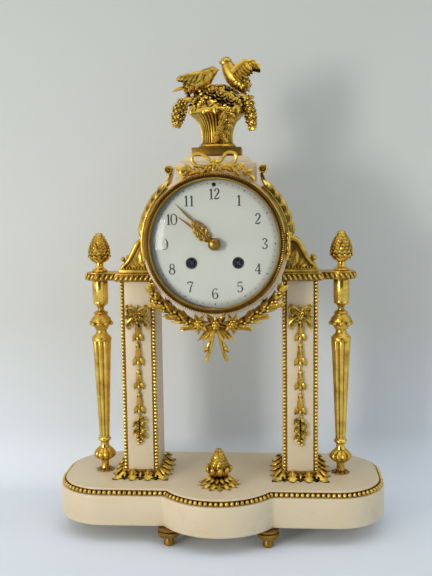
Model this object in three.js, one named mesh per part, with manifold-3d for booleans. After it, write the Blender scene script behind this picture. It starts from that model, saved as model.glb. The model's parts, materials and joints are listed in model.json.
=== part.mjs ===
// Mantel clock in the portico style: a white marble base, two marble pillars and a marble drum,
// dressed with gilt bronze, with a striking eight-day movement and a short pendulum in the drum.
// Millimetres. +Z is up, the dial faces -Y, and the origin is the middle of the footprint at the floor.
import * as THREE from 'three';
import { mergeVertices } from 'three/addons/utils/BufferGeometryUtils.js';
import Module from 'manifold-3d';

const wasm = await Module();
wasm.setup();

// Clearances
const GAP = 0.25; // between pieces that seat on one another
const RUN_GAP = 0.3; // round an arbor, pin or pivot that turns

// Base
const BASE_END = 35; // beyond the column's middle
const WING_DEPTH = 104;
const BOW_PROJECTION = 22;
const BOW_CHORD = 87;
const BASE_CORNER_RADIUS = 41;
const BASE_THICKNESS = 29.5;
const REBATE_DEPTH = 4.2;
const REBATE_HEIGHT = 5;
const BEAD_STRIP_HEIGHT = 3.6;
const BEAD_STRIP_DEPTH = 3;

// Feet
const FOOT_HEIGHT = 15;
const FOOT_RADIUS = 9;
const FOOT_STUB_RADIUS = 4.4;
const FOOT_STUB_HEIGHT = 7.5;
const FRONT_FOOT_INSET = 4; // from the end of the bow
const FRONT_FOOT_SETBACK = 1; // behind the wings' front
const REAR_FOOT_INSET = 23; // from the base's end
const REAR_FOOT_SETIN = 49; // from the base's back

// Marble pillars and the gilt on them
const PILLAR_OFFSET = 9; // pillar's middle beyond the drum's side
const PILLAR_Y = 10;
const PILLAR_WIDTH = 29;
const PILLAR_DEPTH = 38;
const PILLAR_HEIGHT = 163.5;
const STRIP_SIZE = 3.6;
const FRAME_REACH = 9.4;
const FRAME_LEAF_HEIGHT = 2.4;
const FRAME_HEIGHT = 7;
const FRAME_LEAVES = 5;
const DROP_TOP_MARGIN = 20;
const DROP_LENGTH = 116;
const HUSK_RADIUS = 4.8;
const HUSK_LENGTH = 15;
const HUSK_COUNT = 4;
const DROP_BOW_LENGTH = 18;
const DROP_TASSEL_LENGTH = 24;

// Cornice arms
const CORNICE_THICKNESS = 6.5;
const CORNICE_OVERHANG = 2.6;
const CORNICE_ARM_DEPTH = 19;
const GADROON_PITCH = 5.4;
const GADROON_RELIEF = 1;

// Turned columns
const COLUMN_GAP = 1.5; // between the pillar's frame and the column's foot
const COLUMN_Y = 9;
const COLUMN_ROSETTE_RADIUS = 8.6;
const COLUMN_KNOP_RADIUS = 9.2;
const COLUMN_SHAFT_TOP_RADIUS = 8;
const COLUMN_SHAFT_FOOT_RADIUS = 4.4;
const COLUMN_COLLAR_RADIUS = 10.8;
const COLUMN_NECK_RADIUS = 2.4;
const COLUMN_CAP_RADIUS = 6.5;
const COLUMN_CAP_HEIGHT = 20;
const COLUMN_FOOT_HEIGHT = 28;
const COLUMN_FLUTES = 5;
const CONE_RADIUS = 8.8;
const CONE_HEIGHT = 23;
const CONE_PEDESTAL_HEIGHT = 7.5;
const CORNICE_RING_RADIUS = 11.5;

// Drum case
const DRUM_RISE = 25; // height of the dial centre over the cornice
const DRUM_RADIUS = 57;
const DRUM_WALL = 8;
const DRUM_EDGE = 1.5; // chamfer of the front edge
const DRUM_FRONT = -33;
const DRUM_DEPTH = 80;
const ROUND_SEGMENTS = 28;

// Marble block over the drum, and the basket on it
const BLOCK_WIDTH = 63;
const BLOCK_DEPTH = 46;
const BLOCK_Y = 8;
const BLOCK_HEIGHT = 5.5; // over the drum's top, below the hollow moulding
const BLOCK_COVE_HEIGHT = 5.6;
const BLOCK_COVE_DEPTH = 6;
const PLINTH_WIDTH = 39.4;
const PLINTH_DEPTH = 31;
const PLINTH_HEIGHT = 6.8;
const BASKET_FOOT_RADIUS = 14;
const BASKET_WAIST_RADIUS = 12;
const BASKET_RIM_RADIUS = 24;
const BASKET_HEIGHT = 30;
const BASKET_DISH_DEPTH = 7;
const BASKET_WALL = 2.5;
const BASKET_RIBS = 8;
const MOUND_HEIGHT = 19; // heap of flowers
const FLOWER_RADIUS = 5.4;
const DOVE_LENGTH = 40;
const PERCH_RISE = 2; // a dove's middle over the heap of flowers

// Bezel door, glass and dial
const DIAL_MARGIN = 7; // inside the drum's edge
const DIAL_THICKNESS = 1.6;
const SEAT_RING_THICKNESS = 2.5;
const SEAT_RING_MARGIN = 1.1; // beyond the bezel
const SEAT_FLANGE_REACH = 2; // over the edge of the front plate
const SEAT_WALL = 2.4;
const BEZEL_WALL = 3.4;
const BEZEL_DEPTH = 7.7;
const BEZEL_LIP = 2.2;
const BEZEL_LIP_REACH = 1; // over the edge of the dial
const GLASS_THICKNESS = 1.4;
const GLASS_RISE = 7.5;
const WINDING_HOLE_RADIUS = 4.6;
const WINDING_DROP = 14.6;
const REGULATOR_INSET = 3.8; // from the drum's bore
const REGULATOR_RADIUS = 1.1;
const HINGE_RADIUS = 1.9;
const HINGE_PIN_RADIUS = 0.8;
const HINGE_KNUCKLE_LENGTH = 11.8;
const HINGE_EAR_LENGTH = 2.5;

// Hands
const HAND_THICKNESS = 0.6;
const HOUR_HAND_INSET = 15; // from the dial's edge
const MINUTE_HAND_INSET = 7;
const HOUR_HAND_WIDTH = 5; // half the width at the heart
const MINUTE_HAND_WIDTH = 4;
const HOUR_HAND_ANGLE = 307; // degrees clockwise from twelve
const MINUTE_HAND_ANGLE = 316.4;
const HAND_BOSS_RADIUS = 5;
const HAND_BOSS_HEIGHT = 6;
const HOUR_PIPE_RADIUS = 2.8;
const HOUR_WHEEL_RADIUS = 9;

// Movement
const PLATE_MARGIN = 7.5; // from the drum's bore to the plates
const PLATE_THICKNESS = 2;
const PLATE_SPACING = 40;
const PLATE_SETBACK = 6; // front plate behind the drum's front face
const PLATE_PILLAR_RADIUS = 2.5;
const PLATE_PILLAR_INSET = 5.5; // from the plate's edge
const BARREL_TEETH = 40;
const BARREL_PITCH_RADIUS = 16.6;
const BARREL_RIM = 1.2; // of the toothed rim over the barrel's wall
const BARREL_MARGIN = 0.86; // from the teeth to the middle of the movement
const BARREL_SETIN = 18; // room for wheels between the barrel and the plates
const TOOTH_RISE = 0.65; // over the pitch circle, as a share of the pitch
const SECOND_LEAVES = 8;
const SECOND_TEETH = 40;
const SECOND_PITCH_RADIUS = 14;
const CENTRE_LEAVES = 8;
const CENTRE_TEETH = 60;
const CENTRE_PITCH_RADIUS = 14;
const THIRD_LEAVES = 5;
const THIRD_TEETH = 60;
const THIRD_PITCH_RADIUS = 12;
const ESCAPE_LEAVES = 5;
const ESCAPE_TEETH = 48;
const ESCAPE_RADIUS = 9;
const WHEEL_THICKNESS = 1.4;
const PINION_LENGTH = 2.6;
const WINDING_ARBOR_RADIUS = 2.2;
const CENTRE_ARBOR_RADIUS = 1.3;
const SECOND_ARBOR_RADIUS = 1;
const FINE_ARBOR_RADIUS = 0.5;
const PALLET_ARBOR_RADIUS = 0.8;
const RATCHET_RADIUS = 6.5;
const RATCHET_TEETH = 12;
const SUSPENSION_RISE = 33; // pendulum's bending point over the dial centre
const PALLET_SPAN = 42.5; // half angle of the teeth that the anchor spans, degrees
const PALLET_CLEARANCE = 0.85; // from the tooth tips at mid swing
const PENDULUM_CLEARANCE = 3.1; // from the rating nut to the drum's bore
const PENDULUM_ROD_WIDTH = 1.8;
const PENDULUM_HOOK_WIDTH = 6;
const RATING_NUT_DROP = 2.5;
const BOB_RADIUS = 9;
const BOB_THICKNESS = 6;
const PENDULUM_SETBACK = 4; // rod's middle behind the back plate
const BELL_RADIUS = 26;
const BELL_DEPTH = 13;
const BELL_WALL = 1.5;
const BELL_X = 10;
const BELL_DROP = 6;
const BELL_SETBACK = 9; // bell's mouth behind the back plate
const HAMMER_X = -24;
const HAMMER_RISE = 20;
const HAMMER_HEAD_RADIUS = 3;

// Rear door
const REAR_RING_THICKNESS = 2.5;
const REAR_RING_MARGIN = 4; // inside the drum's edge
const REAR_RING_REACH = 8; // inside the drum's bore
const REAR_DOOR_LAP = 4; // over the ring's inner edge
const REAR_SPIGOT_LENGTH = 4;
const REAR_DOOR_THICKNESS = 1.5;

// Garland, ribbon, side mounts and base finial
const BRACKET_RISE = 3.2; // bracket's top over the dial centre
const BRACKET_SETBACK = 1; // behind the pillar's front
const BRACKET_REAR_INSET = 8;
const CURL_RADIUS = 2.8;
const MOUNT_SETBACK = 1; // behind the drum's front
const MOUNT_THICKNESS = 3;
const MOUNT_DEPTH = 26;
const VOLUTE_RADIUS = 4;
const SWAG_DEPTH = 5;
const SWAG_HALF_SPAN = 58; // degrees to either side of the lowest point
const SWAG_LEAVES = 7; // on either side
const SWAG_BAND = 3.4;
const SWAG_SWELL = 4;
const SWAG_KNOT_RADIUS = 4.8;
const SWAG_LEAF_LENGTH = 16.5;
const SWAG_STALK_LENGTH = 29;
const BOW_LOOP_LENGTH = 16.5;
const BOW_LOOP_HEIGHT = 6.2;
const BOW_TAIL_REACH = 26;
const BOW_RIBBON = 3;
const BASE_FINIAL_Y = -24;
const BASE_ROSETTE_RADIUS = 16.5;
const BASE_ROSETTE_HEIGHT = 5.4;
const BASE_CONE_RADIUS = 10.8;
const BASE_CONE_HEIGHT = 22;

// Places worked out from the sizes
const rearY = (WING_DEPTH + BOW_PROJECTION) / 2;
const wingFrontY = rearY - WING_DEPTH;
const bowRadius = (BOW_CHORD ** 2 / 4 + BOW_PROJECTION ** 2) / (2 * BOW_PROJECTION);
const bowCentreY = wingFrontY - BOW_PROJECTION + bowRadius;
const baseTop = FOOT_HEIGHT + BASE_THICKNESS;
const rebateZ = baseTop - REBATE_HEIGHT;
const pillarTop = baseTop + PILLAR_HEIGHT;
const pillarX = DRUM_RADIUS + PILLAR_OFFSET;
const columnX = pillarX + PILLAR_WIDTH / 2 + FRAME_REACH + COLUMN_GAP + COLUMN_ROSETTE_RADIUS;
const baseHalf = columnX + BASE_END;
const frontFootX = BOW_CHORD / 2 - FRONT_FOOT_INSET;
const frontFootY = wingFrontY + FRONT_FOOT_SETBACK;
const rearFootX = baseHalf - REAR_FOOT_INSET;
const rearFootY = rearY - REAR_FOOT_SETIN;
const pillarFront = PILLAR_Y - PILLAR_DEPTH / 2;
const corniceBottom = pillarTop + GAP;
const corniceTop = corniceBottom + CORNICE_THICKNESS;
const drumZ = corniceTop + DRUM_RISE;
const drumRear = DRUM_FRONT + DRUM_DEPTH;
const drumBore = DRUM_RADIUS - DRUM_WALL;
const dialRadius = DRUM_RADIUS - DIAL_MARGIN;
const plateRadius = drumBore - PLATE_MARGIN;
const barrelTip = BARREL_PITCH_RADIUS * (1 + (2 * TOOTH_RISE) / BARREL_TEETH);
const windingX = barrelTip + BARREL_MARGIN;
const barrelLength = PLATE_SPACING - BARREL_SETIN;
const regulatorRise = drumBore - REGULATOR_INSET;
const bezelRadius = dialRadius + BEZEL_WALL;
const sightRadius = dialRadius - BEZEL_LIP_REACH;
const seatRingRadius = bezelRadius + SEAT_RING_MARGIN;
const rearRingRadius = DRUM_RADIUS - REAR_RING_MARGIN;
const rearRingInner = drumBore - REAR_RING_REACH;
const rearDoorRadius = rearRingInner + REAR_DOOR_LAP;
const blockRise = DRUM_RADIUS + BLOCK_HEIGHT;
const blockTop = blockRise + BLOCK_COVE_HEIGHT;
const plinthTop = drumZ + blockTop + GAP + PLINTH_HEIGHT;
const basketRim = plinthTop + GAP + BASKET_HEIGHT;
const perch = MOUND_HEIGHT + PERCH_RISE;
const seatFront = DRUM_FRONT - GAP - SEAT_RING_THICKNESS;
const dialFront = seatFront - GAP - DIAL_THICKNESS;
const bezelBack = seatFront - GAP;
const bezelFront = bezelBack - BEZEL_DEPTH;
const lipBack = bezelFront + BEZEL_LIP;
const glassFront = lipBack + GAP;
const frontPlateY = DRUM_FRONT + PLATE_SETBACK;
const trainFront = frontPlateY + PLATE_THICKNESS;
const backPlateY = trainFront + PLATE_SPACING;
const plateRear = backPlateY + PLATE_THICKNESS;
const pendulumY = plateRear + PENDULUM_SETBACK;
const bellFront = plateRear + BELL_SETBACK;
const hourHandFront = dialFront - 2 * HAND_THICKNESS;
const minuteHandFront = hourHandFront - 2 * HAND_THICKNESS;
const hourHandLength = dialRadius - HOUR_HAND_INSET;
const minuteHandLength = dialRadius - MINUTE_HAND_INSET;
const bobRise = PENDULUM_CLEARANCE + RATING_NUT_DROP + BOB_RADIUS - drumBore;

// Materials
const MARBLE = { color: 0xe6dfce, roughness: 0.38, metalness: 0 };
const GILT = { color: 0xc8993e, roughness: 0.3, metalness: 1 };
const BRASS = { color: 0xb08d45, roughness: 0.35, metalness: 1 };
const STEEL = { color: 0x8a8d92, roughness: 0.35, metalness: 1 };
const ENAMEL = { color: 0xd9d9d2, roughness: 0.15, metalness: 0 };
const GLASS = { color: 0xf2f6f6, roughness: 0.05, metalness: 0, transparent: true, opacity: 0.25 };
const BELL_METAL = { color: 0xa9a690, roughness: 0.25, metalness: 1 };

// Geometry helpers

// A closed triangle mesh with shared corners, facing out.
function closed(geometry) {
  const bare = geometry.clone();
  bare.deleteAttribute('normal');
  bare.deleteAttribute('uv');
  const merged = mergeVertices(bare, 1e-4);
  const at = merged.attributes.position.array;
  const faces = [];
  let volume = 0;
  for (let i = 0; i < merged.index.count; i += 3) {
    const [a, b, c] = [0, 1, 2].map((k) => merged.index.getX(i + k));
    if (a === b || b === c || c === a) continue;
    faces.push([a, b, c]);
    const [p, q, r] = [a, b, c].map((k) => new THREE.Vector3().fromArray(at, 3 * k));
    volume += p.dot(q.cross(r));
  }
  if (volume < 0) faces.forEach((face) => face.reverse());
  merged.setIndex(faces.flat());
  return merged;
}

function solid(geometry) {
  const mesh = closed(geometry);
  return new wasm.Manifold(
    new wasm.Mesh({
      numProp: 3,
      vertProperties: new Float32Array(mesh.attributes.position.array),
      triVerts: new Uint32Array(mesh.index.array),
    }),
  );
}

function geometryOf(manifold) {
  const mesh = manifold.getMesh();
  const geometry = new THREE.BufferGeometry();
  geometry.setAttribute('position', new THREE.Float32BufferAttribute(mesh.vertProperties, 3));
  geometry.setIndex(Array.from(mesh.triVerts));
  return geometry;
}

function join(...pieces) {
  const [first, ...rest] = pieces.map(solid);
  return geometryOf(rest.reduce((all, next) => all.add(next), first));
}

function cut(piece, ...tools) {
  return geometryOf(tools.map(solid).reduce((left, tool) => left.subtract(tool), solid(piece)));
}

function mirrored(geometry) {
  const other = closed(geometry);
  other.scale(-1, 1, 1);
  return closed(other);
}

function outline(points) {
  return new THREE.Shape(points.map(([x, y]) => new THREE.Vector2(x, y)));
}

function circle(radius, segments, x = 0, y = 0, Kind = THREE.Shape) {
  const points = [];
  for (let i = 0; i < segments; i += 1) {
    const turn = (i / segments) * 2 * Math.PI;
    points.push(new THREE.Vector2(x + radius * Math.cos(turn), y + radius * Math.sin(turn)));
  }
  return new Kind(points);
}

// An outline in X and Y, raised from one height to another.
function slab(shape, z0, z1, curveSegments = 12) {
  const geometry = new THREE.ExtrudeGeometry(shape, { depth: z1 - z0, bevelEnabled: false, curveSegments });
  return geometry.translate(0, 0, z0);
}

// An outline in X and Z, carried from y0 back to y1.
function plate(shape, y0, y1, curveSegments = 12) {
  const geometry = new THREE.ExtrudeGeometry(shape, { depth: y1 - y0, bevelEnabled: false, curveSegments });
  return geometry.rotateX(Math.PI / 2).translate(0, y1, 0);
}

function box(x0, x1, y0, y1, z0, z1) {
  const geometry = new THREE.BoxGeometry(x1 - x0, y1 - y0, z1 - z0);
  return geometry.translate((x0 + x1) / 2, (y0 + y1) / 2, (z0 + z1) / 2);
}

// A round bar along Y.
function bar(radius, y0, y1, x = 0, z = 0, segments = 8) {
  return new THREE.CylinderGeometry(radius, radius, y1 - y0, segments).translate(x, (y0 + y1) / 2, z);
}

// A round bar along Z.
function post(radius, z0, z1, x = 0, y = 0, segments = 8) {
  const geometry = new THREE.CylinderGeometry(radius, radius, z1 - z0, segments);
  return geometry.rotateX(Math.PI / 2).translate(x, y, (z0 + z1) / 2);
}

// A profile of [radius, y] turned about the Y axis.
function turnedAboutY(profile, segments = ROUND_SEGMENTS) {
  return new THREE.LatheGeometry(profile.map(([r, y]) => new THREE.Vector2(r, y)), segments);
}

// A profile of [radius, z, flute, scale] turned about Z. Every second meridian is drawn in by the flute's
// share, and every second corner of a row by the scale's share.
function turned(profile, segments) {
  const geometry = turnedAboutY(profile, segments);
  const at = geometry.attributes.position;
  for (let i = 0; i < at.count; i += 1) {
    const meridian = Math.floor(i / profile.length);
    const row = i % profile.length;
    const flute = (profile[row][2] ?? 0) * (meridian % 2);
    const scale = (profile[row][3] ?? 0) * ((meridian + row) % 2);
    const shrink = 1 - flute - scale;
    at.setX(i, at.getX(i) * shrink);
    at.setZ(i, at.getZ(i) * shrink);
  }
  return geometry.rotateX(Math.PI / 2);
}

function ball(rx, ry, rz, x, y, z, tilt = 0, segments = 6, rows = 4) {
  const geometry = new THREE.SphereGeometry(1, segments, rows).rotateX(Math.PI / 2).scale(rx, ry, rz);
  return geometry.rotateY(-tilt).translate(x, y, z);
}

// A pointed leaf between two points in the X-Z plane.
function leaf(x0, z0, x1, z1, width, thickness, y) {
  const length = Math.hypot(x1 - x0, z1 - z0);
  const geometry = new THREE.OctahedronGeometry(1).scale(length / 2, thickness / 2, width / 2);
  const tilt = Math.atan2(z1 - z0, x1 - x0);
  return geometry.rotateY(-tilt).translate((x0 + x1) / 2, y, (z0 + z1) / 2);
}

// A four-sided rod along a smooth curve through points in a plane of constant y.
function rod(points, thickness, width, steps) {
  const curve = new THREE.CatmullRomCurve3(points.map((p) => new THREE.Vector3(...p)));
  const [a, b] = [thickness / 2, width / 2];
  const section = outline([[-a, -b], [a, -b], [a, b], [-a, b]]);
  return new THREE.ExtrudeGeometry(section, { steps, bevelEnabled: false, extrudePath: curve });
}

// A flat band of even width along a smooth curve in the X-Z plane, as an outline.
function bandOutline(points, width, steps) {
  const curve = new THREE.SplineCurve(points.map(([x, z]) => new THREE.Vector2(x, z)));
  const sides = [1, -1].map((side) =>
    Array.from({ length: steps + 1 }, (_, i) => {
      const tangent = curve.getTangent(i / steps);
      const normal = new THREE.Vector2(-tangent.y, tangent.x);
      return curve.getPoint(i / steps).addScaledVector(normal, (side * width) / 2);
    }),
  );
  return new THREE.Shape([...sides[0], ...sides[1].reverse()]);
}

// Toothed outline: pointed teeth between two circles.
function toothed(teeth, tip, root, turn = 0, lean = 0) {
  const points = [];
  for (let i = 0; i < teeth; i += 1) {
    const at = turn + (i / teeth) * 2 * Math.PI;
    const valley = at + Math.PI / teeth;
    const lead = (lean * Math.PI) / teeth;
    points.push([tip * Math.cos(at + lead), tip * Math.sin(at + lead)]);
    points.push([root * Math.cos(valley), root * Math.sin(valley)]);
  }
  return outline(points);
}

// The point where two circles cross, to the left of the line from the first centre to the second.
function crossing(a, ra, b, rb) {
  const apart = Math.hypot(b[0] - a[0], b[1] - a[1]);
  const along = (ra ** 2 - rb ** 2 + apart ** 2) / (2 * apart);
  const off = Math.sqrt(ra ** 2 - along ** 2);
  const [ux, uz] = [(b[0] - a[0]) / apart, (b[1] - a[1]) / apart];
  return [a[0] + along * ux - off * uz, a[1] + along * uz + off * ux];
}

// Base outline, drawn in from the outer face by an inset; it starts and ends at the straight back edge.
function baseOutline(inset, Kind = THREE.Shape) {
  const half = baseHalf - inset;
  const r = BASE_CORNER_RADIUS - inset;
  const back = rearY - inset;
  const front = wingFrontY + inset;
  const bow = bowRadius - inset;
  const halfAngle = Math.acos((bowCentreY - front) / bow);
  const path = new Kind();
  path.moveTo(-half + r, back);
  path.absarc(-half + r, back - r, r, Math.PI / 2, Math.PI);
  path.lineTo(-half, front + r);
  path.absarc(-half + r, front + r, r, Math.PI, 1.5 * Math.PI);
  path.lineTo(-bow * Math.sin(halfAngle), front);
  path.absarc(0, bowCentreY, bow, -Math.PI / 2 - halfAngle, -Math.PI / 2 + halfAngle);
  path.lineTo(half - r, front);
  path.absarc(half - r, front + r, r, -Math.PI / 2, 0);
  path.lineTo(half, back - r);
  path.absarc(half - r, back - r, r, 0, Math.PI / 2);
  return path;
}

function basePlinth() {
  const body = slab(baseOutline(0), FOOT_HEIGHT, rebateZ, 4);
  const top = slab(baseOutline(REBATE_DEPTH), rebateZ - GAP, baseTop, 4);
  return join(body, top);
}

// Beaded strip in the rebate, round the front and both ends; the beads themselves are left smooth.
function baseBeading() {
  const wall = REBATE_DEPTH - 2 * GAP; // the facets of the two curves differ a little
  const inner = baseOutline(wall, THREE.Path).getPoints(4);
  const outer = baseOutline(wall - BEAD_STRIP_DEPTH, THREE.Path).getPoints(4);
  const bottom = rebateZ + GAP;
  return slab(new THREE.Shape([...outer, ...inner.reverse()]), bottom, bottom + BEAD_STRIP_HEIGHT);
}

// Turned foot: a short stub under a broad disc.
function foot() {
  const top = FOOT_HEIGHT - GAP;
  const rim = FOOT_STUB_HEIGHT;
  const profile = [
    [0, 0],
    [FOOT_STUB_RADIUS, 0],
    [FOOT_STUB_RADIUS * 0.85, rim],
    [FOOT_RADIUS, rim * 1.13],
    [FOOT_RADIUS, top],
    [0, top],
  ];
  return turned(profile, 8);
}

// Right-hand pillar: two front corners are cut away for the beaded strips.
function pillar() {
  const x0 = pillarX - PILLAR_WIDTH / 2;
  const x1 = pillarX + PILLAR_WIDTH / 2;
  const y1 = PILLAR_Y + PILLAR_DEPTH / 2;
  const notch = STRIP_SIZE + GAP;
  const section = outline([
    [x0, pillarFront + notch],
    [x0 + notch, pillarFront + notch],
    [x0 + notch, pillarFront],
    [x1 - notch, pillarFront],
    [x1 - notch, pillarFront + notch],
    [x1, pillarFront + notch],
    [x1, y1],
    [x0, y1],
  ]);
  return slab(section, baseTop + GAP, pillarTop);
}

// Strip standing in a front corner of the right-hand pillar, rounded where the beads are.
function pillarStrip(outerSide) {
  const corner = outerSide ? pillarX + PILLAR_WIDTH / 2 : pillarX - PILLAR_WIDTH / 2;
  const round = STRIP_SIZE * 0.6;
  const section = new THREE.Shape();
  section.moveTo(0, STRIP_SIZE);
  section.lineTo(-STRIP_SIZE, STRIP_SIZE);
  section.lineTo(-STRIP_SIZE, 0);
  section.lineTo(-round, 0);
  section.absarc(-round, round, round, -Math.PI / 2, 0);
  const strip = slab(section, baseTop + GAP, pillarTop, 2);
  return (outerSide ? strip : mirrored(strip)).translate(corner, pillarFront, 0);
}

// Leaf-edged frame round the foot of the right-hand pillar.
function pillarFrame() {
  const half = [PILLAR_WIDTH / 2 + FRAME_REACH, PILLAR_DEPTH / 2 + FRAME_REACH];
  const tip = FRAME_REACH * 0.32;
  const inner = [half[0] - tip, half[1] - tip];
  const corners = [[-1, -1], [1, -1], [1, 1], [-1, 1]];
  const shape = new THREE.Shape();
  shape.moveTo(-inner[0], -inner[1]);
  corners.forEach(([cx, cy], side) => {
    const [nx, ny] = corners[(side + 1) % 4];
    const out = [(cy - ny) === 0 ? 0 : cx, (cx - nx) === 0 ? 0 : cy];
    for (let i = 1; i <= FRAME_LEAVES; i += 1) {
      const at = (share) => [
        inner[0] * (cx + (nx - cx) * share),
        inner[1] * (cy + (ny - cy) * share),
      ];
      const [mx, my] = at((i - 0.5) / FRAME_LEAVES);
      const [ex, ey] = at(i / FRAME_LEAVES);
      shape.quadraticCurveTo(mx + 2 * tip * out[0], my + 2 * tip * out[1], ex, ey);
    }
  });
  const bottom = baseTop + GAP;
  const leaves = slab(shape, bottom, bottom + FRAME_LEAF_HEIGHT, 2);
  const reach = FRAME_REACH - 1.5 * tip;
  const rise = FRAME_HEIGHT - FRAME_LEAF_HEIGHT / 2;
  const slope = new THREE.CylinderGeometry(Math.SQRT2 * 0.8, Math.SQRT2, rise, 4, 1);
  slope.rotateY(Math.PI / 4).rotateX(Math.PI / 2);
  slope.scale(PILLAR_WIDTH / 2 + reach, PILLAR_DEPTH / 2 + reach, 1);
  slope.translate(0, 0, bottom + FRAME_HEIGHT - rise / 2);
  const [hx, hy] = [PILLAR_WIDTH / 2 + GAP, PILLAR_DEPTH / 2 + GAP];
  const hole = box(-hx, hx, -hy, hy, bottom - 1, bottom + FRAME_HEIGHT + 1);
  return cut(join(leaves, slope), hole).translate(pillarX, PILLAR_Y, 0);
}

// Gilt drop on the front of the right-hand pillar: a bow, a chain of husks and a leafy tassel.
function pillarDrop() {
  const face = pillarFront - GAP;
  const top = pillarTop - DROP_TOP_MARGIN;
  const foot = top - DROP_LENGTH;
  const step = (DROP_LENGTH - DROP_BOW_LENGTH - DROP_TASSEL_LENGTH) / HUSK_COUNT;
  const [husk, bow, tassel] = [HUSK_RADIUS, DROP_BOW_LENGTH, DROP_TASSEL_LENGTH];
  const link = husk * 0.25;
  const chain = [[0, top], [husk * 0.42, top - bow * 0.055], [husk, top - bow / 3], [link, top - bow]];
  for (let i = 0; i < HUSK_COUNT; i += 1) {
    const z = top - DROP_BOW_LENGTH - i * step;
    chain.push([husk * 0.46, z - HUSK_LENGTH / 2], [husk, z - HUSK_LENGTH], [link, z - step]);
  }
  chain.push([husk * 0.75, foot + tassel * 0.67], [husk / 2, foot + tassel / 4], [0, foot]);
  const y = face - husk * 0.2;
  const pieces = [turned(chain, 6).rotateZ(Math.PI / 6).translate(0, y, 0)];
  [-1, 1].forEach((side) => {
    const [near, far] = [side * bow * 0.055, side * bow * 0.42];
    pieces.push(ball(bow * 0.28, bow * 0.145, bow * 0.19, side * bow * 0.29, y, top - bow / 6, side * -0.5));
    pieces.push(leaf(near, top - bow * 0.39, far, top - bow, bow * 0.22, bow * 0.22, y));
    const low = foot + tassel / 4;
    pieces.push(leaf(near, foot + tassel * 0.75, side * tassel * 0.26, low, tassel * 0.19, tassel * 0.18, y));
  });
  const behind = box(-PILLAR_WIDTH, PILLAR_WIDTH, face, face + PILLAR_DEPTH, baseTop, pillarTop);
  return cut(join(...pieces), behind).translate(pillarX, 0, 0);
}

// Right-hand cornice arm: from the drum over the pillar to a ring under the column's finial.
function cornice() {
  const front = pillarFront - CORNICE_OVERHANG;
  const back = PILLAR_Y + PILLAR_DEPTH / 2 + CORNICE_OVERHANG;
  const inner = pillarX - PILLAR_WIDTH / 2 - CORNICE_OVERHANG / 2;
  const outer = pillarX + PILLAR_WIDTH / 2 + CORNICE_OVERHANG;
  const arm = CORNICE_ARM_DEPTH / 2;
  const sweep = Math.asin(arm / CORNICE_RING_RADIUS);
  const edge = new THREE.Path();
  edge.moveTo(inner, front);
  edge.lineTo(outer, front);
  edge.lineTo(outer, COLUMN_Y - arm);
  edge.lineTo(columnX - CORNICE_RING_RADIUS * Math.cos(sweep), COLUMN_Y - arm);
  edge.absarc(columnX, COLUMN_Y, CORNICE_RING_RADIUS, Math.PI + sweep, 3 * Math.PI - sweep);
  edge.lineTo(outer, COLUMN_Y + arm);
  edge.lineTo(outer, back);
  const corners = [];
  edge.curves.forEach((curve) => {
    const count = 2 * Math.max(1, Math.round(curve.getLength() / GADROON_PITCH));
    for (let i = 0; i < count; i += 1) {
      const tangent = curve.getTangentAt(i / count);
      const out = new THREE.Vector2(tangent.y, -tangent.x);
      corners.push(curve.getPointAt(i / count).addScaledVector(out, i % 2 ? GADROON_RELIEF : 0));
    }
  });
  const last = [new THREE.Vector2(outer, back), new THREE.Vector2(inner, back)];
  const arms = slab(new THREE.Shape([...corners, ...last]), corniceBottom, corniceTop);
  return cut(arms, drumSweep(GAP).translate(0, 0, drumZ));
}

// Turned and fluted column from the base to the underside of the cornice ring.
function column() {
  const bottom = baseTop + GAP;
  const capTop = pillarTop;
  const capFoot = capTop - COLUMN_CAP_HEIGHT;
  const collar = capFoot - COLUMN_CAP_HEIGHT * 0.5;
  const shaftTop = collar - COLUMN_CAP_HEIGHT * 0.9;
  const up = (share) => bottom + share * COLUMN_FOOT_HEIGHT;
  const [rosette, knop] = [COLUMN_ROSETTE_RADIUS, COLUMN_KNOP_RADIUS];
  const neck = COLUMN_NECK_RADIUS;
  const profile = [
    [0, bottom],
    [rosette, bottom, 0.15],
    [rosette * 0.8, up(0.11), 0.15],
    [neck * 1.3, up(0.23)],
    [neck * 1.3, up(0.41)],
    [knop, up(0.5), 0.12],
    [knop * 0.86, up(0.71), 0.12],
    [neck * 1.4, up(0.86)],
    [COLUMN_SHAFT_FOOT_RADIUS, up(1), 0.1],
    [COLUMN_SHAFT_TOP_RADIUS, shaftTop, 0.1],
    [neck * 1.8, shaftTop + COLUMN_CAP_HEIGHT * 0.3],
    [COLUMN_COLLAR_RADIUS, collar - COLUMN_CAP_HEIGHT * 0.3, 0.1],
    [COLUMN_COLLAR_RADIUS * 0.8, collar, 0.1],
    [neck, collar + COLUMN_CAP_HEIGHT * 0.2],
    [COLUMN_CAP_RADIUS, capFoot],
    [COLUMN_CAP_RADIUS, capTop],
    [0, capTop],
  ];
  return turned(profile, 2 * COLUMN_FLUTES).translate(columnX, COLUMN_Y, 0);
}

// Rows of a pine cone from its seat up to the tip, each [radius, z, flute, scale].
function coneRows(radius, height, bottom) {
  const rows = 7;
  const widest = 0.3; // share of the height at the widest row
  const profile = [];
  for (let i = 0; i < rows; i += 1) {
    const share = i / rows;
    const lower = Math.sqrt(Math.max(0, 1 - ((widest - share) / (1.3 * widest)) ** 2));
    const upper = Math.sqrt(Math.max(0, 1 - ((share - widest) / (1 - widest)) ** 2));
    profile.push([radius * (share < widest ? lower : upper), bottom + height * share, 0, 0.08]);
  }
  profile.push([0, bottom + height]);
  return profile;
}

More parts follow.
